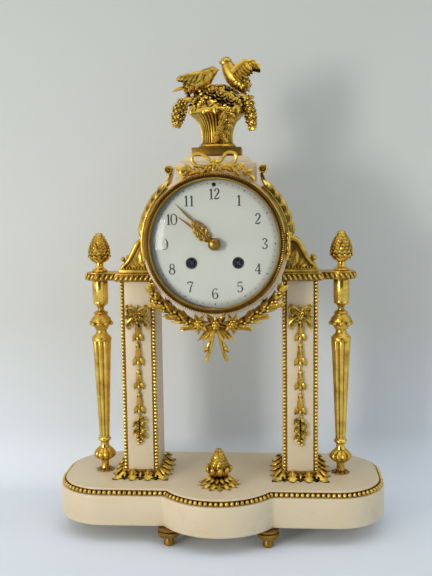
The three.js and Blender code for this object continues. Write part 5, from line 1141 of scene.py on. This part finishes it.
def bezel_glass():
    """The domed glass on its flat rim. It casts no shadow, so that the dial behind it stays bright."""
    bm = bmesh.new()
    low, high = span("bezel_glass")
    edge = high.x
    back = GLASS_SEAT - GLASS_THICKNESS
    rise = -low.y - GLASS_FLATTER - GLASS_SEAT
    inner_radius = GLASS_DOME_RADIUS - GLASS_THICKNESS / 2
    shares = [i / GLASS_RINGS for i in range(GLASS_RINGS + 1)]
    outside = [(GLASS_DOME_RADIUS * s, GLASS_SEAT + rise * (1 - s * s)) for s in shares]
    inside = [(inner_radius * s, back + rise * (1 - s * s)) for s in reversed(shares)]
    press(bm, turned(outside + [(edge, GLASS_SEAT), (edge, back)] + inside, 72), DIAL_FRAME)
    glass = fit("domed_glass", bm, "bezel_glass", GLASS, sharp=60)
    glass.visible_shadow = False


# Strokes of each numeral in a box one high: points, their half widths, and whether the stroke closes
HAIR, STEM = 0.032, 0.076
NUMERAL_STROKES = {
    "0": [([(0, 1), (-0.26, 0.5), (0, 0), (0.26, 0.5)], [HAIR, STEM, HAIR, STEM], True)],
    "1": [([(0, 0), (0, 0.5), (0, 0.98)], [STEM, STEM, STEM], False),
          ([(0, 0.96), (-0.16, 0.8)], [0.05, HAIR], False),
          ([(-0.17, 0.02), (0.17, 0.02)], [HAIR, HAIR], False)],
    "2": [([(-0.2, 0.74), (-0.02, 0.98), (0.2, 0.76), (0.02, 0.4), (-0.24, 0.05)],
           [0.08, HAIR, STEM, 0.06, HAIR], False),
          ([(-0.24, 0.06), (0.1, 0.06), (0.27, 0.2)], [0.05, 0.07, HAIR], False)],
    "3": [([(-0.2, 0.84), (0, 0.98), (0.19, 0.78), (-0.04, 0.54)], [0.07, HAIR, 0.075, HAIR], False),
          ([(-0.04, 0.54), (0.23, 0.27), (0, 0.02), (-0.22, 0.16)], [HAIR, STEM, HAIR, 0.08], False)],
    "4": [([(0.1, 0.98), (-0.27, 0.3)], [HAIR, HAIR], False),
          ([(-0.27, 0.3), (0.28, 0.3)], [0.04, 0.04], False),
          ([(0.1, 0), (0.1, 0.98)], [STEM, STEM], False),
          ([(-0.05, 0.02), (0.25, 0.02)], [HAIR, HAIR], False)],
    "5": [([(0.22, 0.95), (-0.16, 0.94)], [0.06, 0.05], False),
          ([(-0.17, 0.96), (-0.2, 0.52)], [HAIR, HAIR], False),
          ([(-0.2, 0.52), (0.04, 0.61), (0.23, 0.33), (0, 0.02), (-0.22, 0.14)],
           [HAIR, HAIR, STEM, HAIR, 0.075], False)],
    "6": [([(0.18, 0.86), (0.02, 0.98), (-0.24, 0.42), (0, 0.02), (0.23, 0.3), (0.02, 0.56), (-0.2, 0.36)],
           [0.07, HAIR, STEM, HAIR, 0.075, HAIR, HAIR], False)],
    "7": [([(-0.25, 0.78), (-0.22, 0.95), (0.25, 0.95)], [HAIR, 0.06, 0.06], False),
          ([(0.25, 0.95), (0.04, 0.5), (-0.06, 0)], [HAIR, 0.06, STEM], False)],
    "8": [([(0, 0.98), (-0.19, 0.76), (0, 0.54), (0.19, 0.76)], [HAIR, 0.07, 0.05, 0.06], True),
          ([(0, 0.54), (-0.24, 0.27), (0, 0.02), (0.24, 0.27)], [0.05, 0.075, HAIR, STEM], True)],
}
NUMERAL_STROKES["9"] = [([(-x, 1 - y) for x, y in points], widths, loop)
                        for points, widths, loop in NUMERAL_STROKES["6"]]


def dial():
    """The enamel disc with its holes, numerals and minute dots."""
    bm = bmesh.new()
    low, high = span("dial")
    face, back = -low.y, -high.y
    wind_x, wind_y = WINDING_PLACE
    holes = [(0, 0, HAND_HOLE), (wind_x, wind_y, WINDING_HOLE), (-wind_x, wind_y, WINDING_HOLE),
             (0, REGULATOR_RISE, REGULATOR_HOLE)]
    disc = (high.x, 0), [(0, 0, 357)]
    press(bm, slab(*disc, back, face, holes=holes), DIAL_FRAME)
    # A collar painted black lines each winding hole, painted shade for the dark inside of the hole, so that
    # only the end of the square shows.
    under = back - face
    outer, inner = WINDING_HOLE - 0.05, WINDING_HOLE - 0.5
    lining = [(outer, 0.05), (inner, 0.05), (inner, under + 0.3), (WINDING_SQUARE_HOLE, under + 0.3),
              (WINDING_SQUARE_HOLE, under), (outer, under), (outer, 0.05)]
    for x in (-wind_x, wind_x):
        press(bm, turned(lining, 36), DIAL_FRAME @ Matrix.Translation((x, wind_y, face)), 1)
    size = Matrix.Diagonal((NUMERAL_HEIGHT, NUMERAL_HEIGHT, 14 * PAINT_THICKNESS, 1))
    for hour in range(1, 13):
        digits = str(hour)
        turn = math.radians(30 * hour)
        foot = NUMERAL_RING * math.cos(turn) - NUMERAL_HEIGHT / 2
        for i, digit in enumerate(digits):
            shift = (i - (len(digits) - 1) / 2) * 0.5 * NUMERAL_HEIGHT
            at = Matrix.Translation((NUMERAL_RING * math.sin(turn) + shift, foot, face))
            for points, widths, loop in NUMERAL_STROKES[digit]:
                press(bm, wire(points, widths, loop, 1), DIAL_FRAME @ at @ size, 1)
    for minute, out in enumerate(around(60)):
        dot = 0.62 if minute % 5 == 0 else 0.42
        at = place(out * MINUTE_RING + UP * face, size=(dot, dot, PAINT_THICKNESS))
        press(bm, SMALL_BEAD, DIAL_FRAME @ at, 1)
    fit("enamel_dial", bm, "dial", ENAMEL, PAINT)


def hand(bm, at, angle, length):
    """A pierced hand: a short stem, a body of small scrolls and a long needle."""
    turn = Matrix.Rotation(-math.radians(angle), 4, "Z")
    flat = at @ turn @ Matrix.Diagonal((1, 1, HAND_THICKNESS, 1))
    press(bm, wire([(0, 2), (0, length * 0.55)], [1, 0.8], sides=1), flat)
    curl = ((0.3, 0, -0.8), (0, 0.8, -0.5), (0, 1, 0.4), (0, 0.55, 0.8), (0.4, 0, 0.2))
    for side in (-1, 1):
        for share, reach, rise in ((0.2, 2.6, 2.2), (0.3, 4, 2.6), (0.4, 3.6, 2.4), (0.49, 2.4, 2)):
            y = length * share
            scroll = [(side * (x + reach * wide), y + rise * high) for x, wide, high in curl]
            press(bm, wire(scroll, [0.55, 0.7, 0.75, 0.65, 0.55], sides=1), flat)
            press(bm, BEAD, flat @ place((side * reach * 0.55, y, 0), size=(0.75, 0.75, 1.4)))
    needle = [(0, length * 0.5), (0, length * 0.6), (0, length * 0.8), (0, length)]
    press(bm, wire(needle, [1.5, 0.95, 0.6, 0.2], sides=1), flat)


def hour_hand():
    """The shorter hand on the pipe that turns it."""
    bm = bmesh.new()
    at = DIAL_FRAME @ Matrix.Translation((0, 0, -span("hour_hand")[0].y - 0.3))
    hand(bm, at, HOUR_ANGLE, HOUR_LENGTH)
    pipe = [(HAND_BORE, 0.3), (4.4, 0.3), (4.6, 0), (4.4, -0.3), (2.8, -0.3), (2.8, -6), (2.8, -7.5),
            (9, -7.6), (9, -9), (HAND_BORE, -9), (HAND_BORE, 0.3)]
    press(bm, turned(pipe, 32), at)
    fit("pierced_hour_hand", bm, "hour_hand", DULL_GILT)


def minute_hand():
    """The longer hand under its turned boss."""
    bm = bmesh.new()
    low, high = span("minute_hand")
    back, rise = -high.y, high.y - low.y
    hand(bm, DIAL_FRAME @ Matrix.Translation((0, 0, back + 0.35)), MINUTE_ANGLE, MINUTE_LENGTH)
    boss = [(HAND_BORE, 0), (4.2, 0), (4.9, 0.8), (5, 1.8), (4.7, 3), (3.7, rise - 1), (2, rise - 0.2),
            (0, rise), (0, 2.2), (HAND_BORE, 2), (HAND_BORE, 0)]
    press(bm, turned(boss, 36), DIAL_FRAME @ Matrix.Translation((0, 0, back)))
    fit("pierced_minute_hand", bm, "minute_hand", DULL_GILT)


# Finial: plinth, basket, flowers and doves

def finial_plinth():
    """A plain gilt slab on a thin step."""
    bm = bmesh.new()
    low, high = span("finial_plinth")
    inset, step = 0.7, low.z + 0.9
    step_high = (high.x - inset, high.y - inset, step + 0.3)
    press(bm, block((low.x + inset, low.y + inset, low.z), step_high, edge=0.2))
    press(bm, block((low.x, low.y, step), high, edge=0.25))
    fit("stepped_plinth", bm, "finial_plinth", DULL_GILT)


def basket():
    """A flared basket of fine upright staves under a flat bright rim, on a leafy foot."""
    bm = bmesh.new()
    low, high = span("basket")
    at = Matrix.Translation((0, FINIAL_Y, low.z))
    tall = high.z - low.z
    shell = [(0, 0), (14.6, 0), (15.4, 0.8), (14.8, 2), (12.6, 2.8), (11.4, 5), (11.2, 8), (11.6, 13),
             (13.2, 18.5), (16.4, 23.5), (20.6, tall - 3), (20, tall - 4), (11, tall - 8), (0, tall - 8)]
    press(bm, turned(shell, 48), at)
    stave = [(12.1, 3.4), (11.8, 8), (12.2, 13), (13.8, 18.5), (17, 23.5), (20.8, tall - 3)]
    for i, out in enumerate(around(40)):
        thick = 1 if i % 2 else 0.72
        radii = [share * thick for share in (0.8, 0.85, 0.9, 1, 1.25, 1.4)]
        press(bm, wire([out * radius + UP * height for radius, height in stave], radii, sides=1), at)
    rim = [(20, tall - 3.4), (22.6, tall - 3.4), (23.4, tall - 2.6), (23.4, tall - 0.8), (22.8, tall),
           (21, tall), (20, tall - 1), (20, tall - 3.4)]
    press(bm, turned(rim, 48), at, 1)
    for out in around(16):
        foot_leaf = place(out * 11.8 + UP * 3.8, out * 0.8 + UP, out - UP * 0.75, (5.2, 5.2, 3))
        press(bm, ACANTHUS, at @ foot_leaf)
    fit("staved_basket", bm, "basket", MATT_GILT, BRIGHT_GILT)


def bouquet():
    """Flowers and leaves heaped over the basket and down its front, with a hanging bunch at each side."""
    bm = bmesh.new()
    low, high = span("bouquet")
    basket_low, basket_high = span("basket")
    rim, front = basket_high.z, basket_low.y
    heart = Vector((0, FINIAL_Y, rim))
    golden = math.pi * (3 - math.sqrt(5))
    mound = [(0, -6), (10, -6), (18.5, -1), (19.5, 4), (17, 10), (11, 14.5), (0, 17)]
    press(bm, turned(mound, 24), Matrix.Translation(heart) @ Matrix.Diagonal((1, 0.85, 1, 1)))
    heap = 46
    for i in range(heap):
        slope = math.acos(1 - (i + 0.5) / heap * 1.02)
        turn = i * golden
        out = Vector((math.sin(slope) * math.cos(turn), math.sin(slope) * math.sin(turn), math.cos(slope)))
        spot = heart + Vector((out.x * 20.5, out.y * 17.6, 1.5 + out.z * 17))
        if i % 2:
            press(bm, FLOWER, place(spot, out + UP * 0.2, (0.3, 0.3, 1), [7 + 1.6 * (i % 4)] * 3))
            continue
        for lean in (-1, 0.1, 1.1):
            along = Vector((lean, 0.2 * lean, -0.7)) + out * 0.6
            press(bm, ACANTHUS, place(spot - out, out, along, (10, 5.6, 6)))
        bead(bm, spot + out, 1.6)
    spill = [(9, front + 0.4, rim - 1), (9, front + 2.4, rim - 6), (7, front + 7, rim - 12),
             (4, front + 10, rim - 18), (2, front + 10.6, rim - 23)]
    face = Vector((0, -1, 0.1))
    for i, (point, ahead) in enumerate(walk(spill, pitch=5.6)):
        sway = Vector((1.6 * (-1) ** i, 0, 0))
        press(bm, FLOWER, place(point + face * 1.8 + sway, face, UP, [7.6 - 0.5 * i] * 3))
        for lean in (-1.3, -0.4, 1):
            along = ahead + Vector((lean, 0, 0.3 * lean)) + face * 0.2
            press(bm, ACANTHUS, place(point + face * 0.8, face, along, (8, 5, 6)))
    for x in (-17, -8, 0, 15):
        root = (x, front + 2.4 + abs(x) * 0.35, rim + 2.5)
        press(bm, ACANTHUS, place(root, (0, -1, 0.5), (x * 0.03, -0.5, -1), (8, 6, 5)))
    # The bunches at the left and right: side, fullness, and an arch from the heart of the basket
    bunches = ((-1, 3.6, [(16, 7), (23.6, 8), (28, 4.6), (30.4, -1.4), (32.4, -10.6)]),
               (1, 2.6, [(16, 10), (22, 9.6), (25, 4), (27, -4), (28.4, -14)]))
    for side, full, arch in bunches:
        path = [heart + Vector((side * x, -5, z)) for x, z in arch]
        press(bm, wire(path, [2, 2.4, 3, 3.2, 1]))
        stops = walk(path[1:], pitch=2.4)
        for i, (point, ahead) in enumerate(stops):
            share = i / (len(stops) - 1)
            girth = 2 + full * math.sin(math.pi * min(1, 0.16 + 0.72 * share))
            for ring in around(7, (i % 2) * math.pi / 7):
                outward = (ring - ahead * ahead.dot(ring)).normalized()
                root = point + outward * girth * 0.62
                press(bm, SCALE, place(root, outward, ahead + outward * 0.35, (4.6, 4, 4)))
                bead(bm, point + outward * girth + ahead * 1.8, 1.05)
        for lean in (-0.9, -0.2, 0.5, 1.2):
            along = (side * (1.3 - abs(lean)), -0.3, lean)
            press(bm, ACANTHUS, place(path[1] - UP * 1.5, (side * 0.2, -1, 0.5), along, (10, 6, 6)))
    trim(bm, "x", low.x - 0.8, high.x + 0.8)
    fit("heaped_flowers", bm, "bouquet", MATT_GILT)


def feathers(bm, roots, ahead, normal, length, width, count=6):
    """A row of overlapping feathers between two roots; direction and length run evenly along the row."""
    proud = Vector(normal).normalized() * 0.25
    for i in range(count):
        share = i / (count - 1)
        root = Vector(roots[0]).lerp(Vector(roots[1]), share) + proud * i
        along = Vector(ahead[0]).lerp(Vector(ahead[1]), share)
        long = length[0] + (length[1] - length[0]) * share
        press(bm, FEATHER, place(root, normal, along, (long, width, 6)))


def plumage(bm, spine, girths):
    """A plump body along a spine from tail to head, covered in small overlapping feathers."""
    press(bm, wire(spine, girths, sides=4))
    stops = walk(spine, pitch=2.6)
    aside = Vector((0, 1, 0))
    for i, (point, ahead) in enumerate(stops[1:]):
        girth = between(girths, (i + 1.5) / len(stops))
        over = ahead.cross(aside).normalized()
        for turn in around(9, (i % 2) * math.pi / 9):
            outward = aside * turn.x + over * turn.y
            root = point + outward * girth * 0.93
            press(bm, SCALE, place(root, outward, outward * 0.2 - ahead, (4, girth * 0.72, 2.4)))


def dove(name, node_name, spine, head, beak, eye, wing, facing, rows, leg, tail):
    """A plump dove with folded wings; places are (x, z) or (x, z, how far from its middle plane)."""
    bm = bmesh.new()
    y = middle(node_name).y

    def at(x, z, aside=0.0):
        return Vector((x, y + aside, z))

    def line(places, side=1):
        return [at(x, z, side * (aside[0] if aside else 0)) for x, z, *aside in places]

    body, girths = spine
    plumage(bm, line(body), girths)
    bead(bm, at(*head[0]), *head[1])
    press(bm, wire(line(beak[0]), beak[1]))
    for side in (-1, 1):
        bead(bm, line([eye], side)[0], 0.8, 0.6, 0.8)
        edge = line(wing[0], side)
        press(bm, wire(edge, wing[1]))
        outward = Vector((facing[0], side, facing[1]))
        for first, last, ahead, length, width in rows:
            feathers(bm, (edge[first], edge[last]), ahead, outward, length, width)
        press(bm, wire(line(leg[0], side), leg[1]))
    roots, ahead, normal, length = tail
    feathers(bm, line(roots), ahead, normal, (length, length), 4)
    fit(name, bm, node_name, MATT_GILT)


def doves():
    """One dove leans forward to the other, which sits up with its wings lifted behind it."""
    dove("leaning_dove", "dove_left",
         spine=([(-27, 362.6), (-22, 364), (-16, 366.4), (-10.5, 369.6), (-6.6, 372.8), (-4, 375)],
                [2.6, 5.4, 7.4, 7.4, 6, 4.4]),
         head=((-3.4, 375.2), (4.3, 4.1, 4.2)),
         beak=([(-0.4, 376.2), (1.2, 376.4), (2.3, 376.2)], [1.7, 1, 0.2]),
         eye=(-1.8, 376.6, 3),
         wing=([(-7, 371.4, 5), (-11, 373, 5.8), (-18, 372.6, 6.2), (-26, 371.4, 5.4), (-31, 370.4, 4)],
               [1.6, 2, 1.8, 1.3, 0.6]),
         facing=(-0.1, 0.3),
         rows=[(3, 1, ((-0.9, 0, -0.3), (-0.55, 0, -1)), (7, 9), 3.4),
               (2, 0, ((-0.8, 0, -0.55), (-0.5, 0, -1)), (8, 6.4), 3.4)],
         leg=([(-12.5, 364, 2), (-11.6, 358.4, 2)], [1.3, 1]),
         tail=([(-23, 363.6, -2), (-23, 362.6, 2)], ((-1, -0.1, -0.28), (-1, 0.1, -0.36)),
               (-0.2, -0.5, 1), 13.4))
    dove("sitting_dove", "dove_right",
         spine=([(25, 361), (21.6, 364.6), (17.4, 368.6), (13.2, 372.8), (10.2, 377.4), (8.6, 381.2)],
                [2.6, 5.6, 7.6, 7.6, 6, 4.8]),
         head=((7.8, 382.6), (4.8, 4.5, 4.6)),
         beak=([(4.6, 382.8), (3, 382.5), (2.2, 382)], [2, 1.1, 0.2]),
         eye=(5.6, 384, 3.4),
         wing=([(13, 374, 6), (17.4, 377.8, 7), (22.4, 381.2, 7.6), (28, 381.6, 8), (32.4, 378.8, 8.4)],
               [2.6, 2.6, 2.2, 1.8, 1]),
         facing=(-0.2, 0.2),
         rows=[(0, 2, ((0.7, 0, -1), (0.75, 0, -0.8)), (10, 10), 4.4),
               (1, 3, ((0.75, 0, -0.9), (0.8, 0, -0.55)), (7.4, 6.6), 4.2),
               (2, 4, ((0.3, 0, -0.5), (0.5, 0, -0.7)), (5, 4.4), 3.8)],
         leg=([(14.5, 368, 2), (13.6, 359.4, 2)], [1.4, 1]),
         tail=([(22, 365.6, -2), (21, 364, 2)], ((0.8, -0.1, -0.9), (0.6, 0.1, -1)),
               (0.6, -0.6, 0.6), 7.6))


# Back of the drum

def rear_ring():
    """A turned brass ring let into the drum's back, with two ears for the door's hinge."""
    bm = bmesh.new()
    outer = -span("rear_ring")[0].x
    opening, bore = 41, DRUM_RADIUS - DRUM_WALL - 0.4
    face = -span("rear_door")[0].y + 0.25
    seat = -drum_high.y - 0.25
    spigot = seat + 3.95
    ring = [(opening, face), (outer - 0.8, face), (outer, face + 0.8), (outer, seat), (bore, seat),
            (bore, spigot), (opening, spigot), (opening, face)]
    press(bm, turned(ring, 96), DIAL_FRAME)
    x, y = REAR_HINGE
    hinge_ears(bm, x, y, (45.4, 48.2), (x + 1, y + 0.2))
    fit("turned_rear_ring", bm, "rear_ring", BRASS)


def rear_door():
    """The turned door in the ring: raised rings, a knob at its free edge and a knuckle on its hinge."""
    bm = bmesh.new()
    low = span("rear_door")[0]
    radius, back = -low.x, -low.y
    disc = [(0, 0), (radius - 0.5, 0), (radius, -0.5), (radius, -1.1), (radius - 0.8, -1.7),
            (radius - 3, -2.2), (radius - 4.4, -1.6), (radius - 6, -1.4), (22, -1.3), (21, -1.9),
            (19.6, -1.9), (18.6, -1.3), (6, -1.3), (5, -2), (3, -2.2), (0, -2.2)]
    press(bm, turned(disc, 96), DIAL_FRAME @ Matrix.Translation((0, 0, back)))
    knob = [(0, -1.2), (2.2, -1.2), (1.6, -2), (1.3, -3.2), (2.4, -4.4), (2.5, -5.2), (1.6, -5.9), (0, -6)]
    press(bm, turned(knob, 24), DIAL_FRAME @ Matrix.Translation((8 - radius, 0, back)))
    hinge_knuckle(bm, *REAR_HINGE, radius, low.y)
    fit("turned_rear_door", bm, "rear_door", BRASS)


marble_base()
base_beads()
marble_pillars()
pillar_beads()
marble_drum()
marble_cap()
feet()
leaf_frames()
pillar_drops()
cornices()
columns()
column_finials()
base_pinecone()
scroll_brackets()
side_mounts()
ribbon_bow()
laurel_swag()
seat_ring()
bezel()
bezel_glass()
dial()
hour_hand()
minute_hand()
finial_plinth()
basket()
bouquet()
doves()
rear_ring()
rear_door()

# The movement keeps the frame's own shapes
FRAME_FINISHES = {"movement_brass": BRASS, "steel": STEEL, "bell_metal": BELL_METAL}
for name, shape in frame["nodes"].items():
    if SLOT_OF[name] in FRAME_FINISHES:
        shape.data.materials.clear()
        shape.data.materials.append(FRAME_FINISHES[SLOT_OF[name]])


# Studio

WALL_Y = 118
COVE_RADIUS = 48
SHEET_REACH = 3000
COOL_UP_TO = 160
# Painted shade: between these heights the sheet greys, as the window's light falls off up the wall
DIM_FROM, DIM_TO = 250, 650


def backdrop():
    """A pale sheet from the floor up the wall close behind the clock, cooler where it lies flat, with
    painted shade greying it towards the top.
    """
    material, tree, shader, place_on = new_material("matt_white_paper")
    drift = node(tree, "TexNoise", {"Vector": place_on, "Scale": per(600), "Detail": 2})
    tone = node(tree, "Mix", {FACTOR: drift.outputs["Fac"], COLOUR_A: linear("#cccdc7"),
                              COLOUR_B: linear("#d2d3d0")}, data_type="RGBA")
    height = node(tree, "SeparateXYZ", {0: place_on}).outputs["Z"]
    lying = node(tree, "MapRange", {"Value": height, "From Max": COOL_UP_TO * MM, "To Min": 1.0,
                                    "To Max": 0.0})
    # Painted shade: greyer towards the top, where the window's light falls off
    raised = node(tree, "MapRange", {"Value": height, "From Min": DIM_FROM * MM, "From Max": DIM_TO * MM})
    painted_falloff_aloft = node(tree, "Mix", {FACTOR: raised.outputs[0], COLOUR_A: tone.outputs[MIXED],
                               COLOUR_B: linear("#b4b5af")}, data_type="RGBA")
    cool = node(tree, "Mix", {FACTOR: lying.outputs[0], COLOUR_A: painted_falloff_aloft.outputs[MIXED],
                              COLOUR_B: linear("#dfe5ee")}, data_type="RGBA")
    feed(tree, shader, {"Base Color": cool.outputs[MIXED], "Roughness": 0.9})
    # From behind the sheet is clear, so that the back of the clock can be looked at.
    behind = node(tree, "NewGeometry").outputs["Backfacing"]
    sheer = node(tree, "BsdfTransparent")
    seen = node(tree, "MixShader", {0: behind, 1: shader.outputs[0], 2: sheer.outputs[0]})
    feed(tree, tree.nodes["Material Output"], {"Surface": seen.outputs[0]})
    bm = bmesh.new()
    cove = WALL_Y - COVE_RADIUS
    trace(bm, (-SHEET_REACH, 0), [(cove, 0), (cove, COVE_RADIUS, 90), (WALL_Y, SHEET_REACH)], arc_step=6)
    lift(bm, bmesh.ops.extrude_edge_only(bm, edges=bm.edges[:])["geom"], -SHEET_REACH, SHEET_REACH)
    stand = Matrix(((0, 0, 1, 0), (1, 0, 0, 0), (0, 1, 0, 0), (0, 0, 0, 1)))
    bm.transform(Matrix.Scale(MM, 4) @ stand)
    bmesh.ops.recalc_face_normals(bm, faces=bm.faces)
    mesh = bpy.data.meshes.new("paper_sweep")
    bm.to_mesh(mesh)
    bm.free()
    mesh.shade_smooth()
    mesh.materials.append(material)
    sheet = bpy.data.objects.new("paper_sweep", mesh)
    bpy.context.scene.collection.objects.link(sheet)


def lamp(name, spot, aim, size, power, colour):
    """A soft rectangular light at a spot, turned to its aim; its size is in metres."""
    light = bpy.data.lights.new(name, "AREA")
    light.shape = "RECTANGLE"
    light.size, light.size_y = size
    light.energy = power
    light.color = linear(colour)[:3]
    holder = bpy.data.objects.new(name, light)
    bpy.context.scene.collection.objects.link(holder)
    holder.location = Vector(spot) * MM
    holder.rotation_euler = (Vector(aim) - Vector(spot)).to_track_quat("-Z", "Y").to_euler()


def room():
    """The room behind the camera: windows at the left, dark in the middle, a cool wall at the right."""
    world = bpy.data.worlds.new("room")
    bpy.context.scene.world = world
    world.use_nodes = True
    tree = world.node_tree
    direction = node(tree, "TexCoord").outputs["Generated"]
    parts = node(tree, "SeparateXYZ", {0: direction})
    across = node(tree, "MapRange", {"Value": parts.outputs["X"], "From Min": -1, "From Max": 1})
    walls = node(tree, "ValToRGB", {0: across.outputs[0]})
    ramp = walls.color_ramp
    tones = [(0.0, "#e2dfd6"), (0.24, "#c9c5b9"), (0.36, "#2e2d2a"), (0.62, "#2a2927"), (0.76, "#bccad3"),
             (1.0, "#ccd8e0")]
    while len(ramp.elements) < len(tones):
        ramp.elements.new(0.5)
    for stop, (at, tone) in zip(ramp.elements, tones):
        stop.position = at
        stop.color = linear(tone)
    rise = node(tree, "MapRange", {"Value": parts.outputs["Z"], "From Min": 0.5, "From Max": 0.9})
    sky = node(tree, "Mix", {FACTOR: rise.outputs[0], COLOUR_A: walls.outputs[0],
                             COLOUR_B: linear("#f0f4f7")}, data_type="RGBA")
    feed(tree, tree.nodes["Background"], {"Color": sky.outputs[MIXED], "Strength": 1.6})


def camera():
    """The photograph's view, fitted to the clock's own corners."""
    eye = Vector((46.54, -648.35, 274.69))
    yaw, pitch, roll = (math.radians(v) for v in (-4.3, -6.41, -0.76))
    ahead = Vector((math.sin(yaw) * math.cos(pitch), math.cos(yaw) * math.cos(pitch), math.sin(pitch)))
    right = Vector((math.cos(yaw), -math.sin(yaw), 0))
    up = right.cross(ahead)
    level = right * math.cos(roll) + up * math.sin(roll)
    upright = up * math.cos(roll) - right * math.sin(roll)
    lens = bpy.data.cameras.new("photo_view")
    lens.lens = 50
    lens.sensor_width = 36
    holder = bpy.data.objects.new("photo_view", lens)
    bpy.context.scene.collection.objects.link(holder)
    turn = Matrix((level, upright, -ahead)).transposed().to_4x4()
    holder.matrix_world = Matrix.Translation(eye * MM) @ turn
    bpy.context.scene.camera = holder


backdrop()
room()
lamp("window", spot=(-925, -1180, 300), aim=(0, 0, 200), size=(0.26, 0.42), power=8.2, colour="#fffbf2")
camera()
bpy.context.scene.view_settings.view_transform = "Standard"
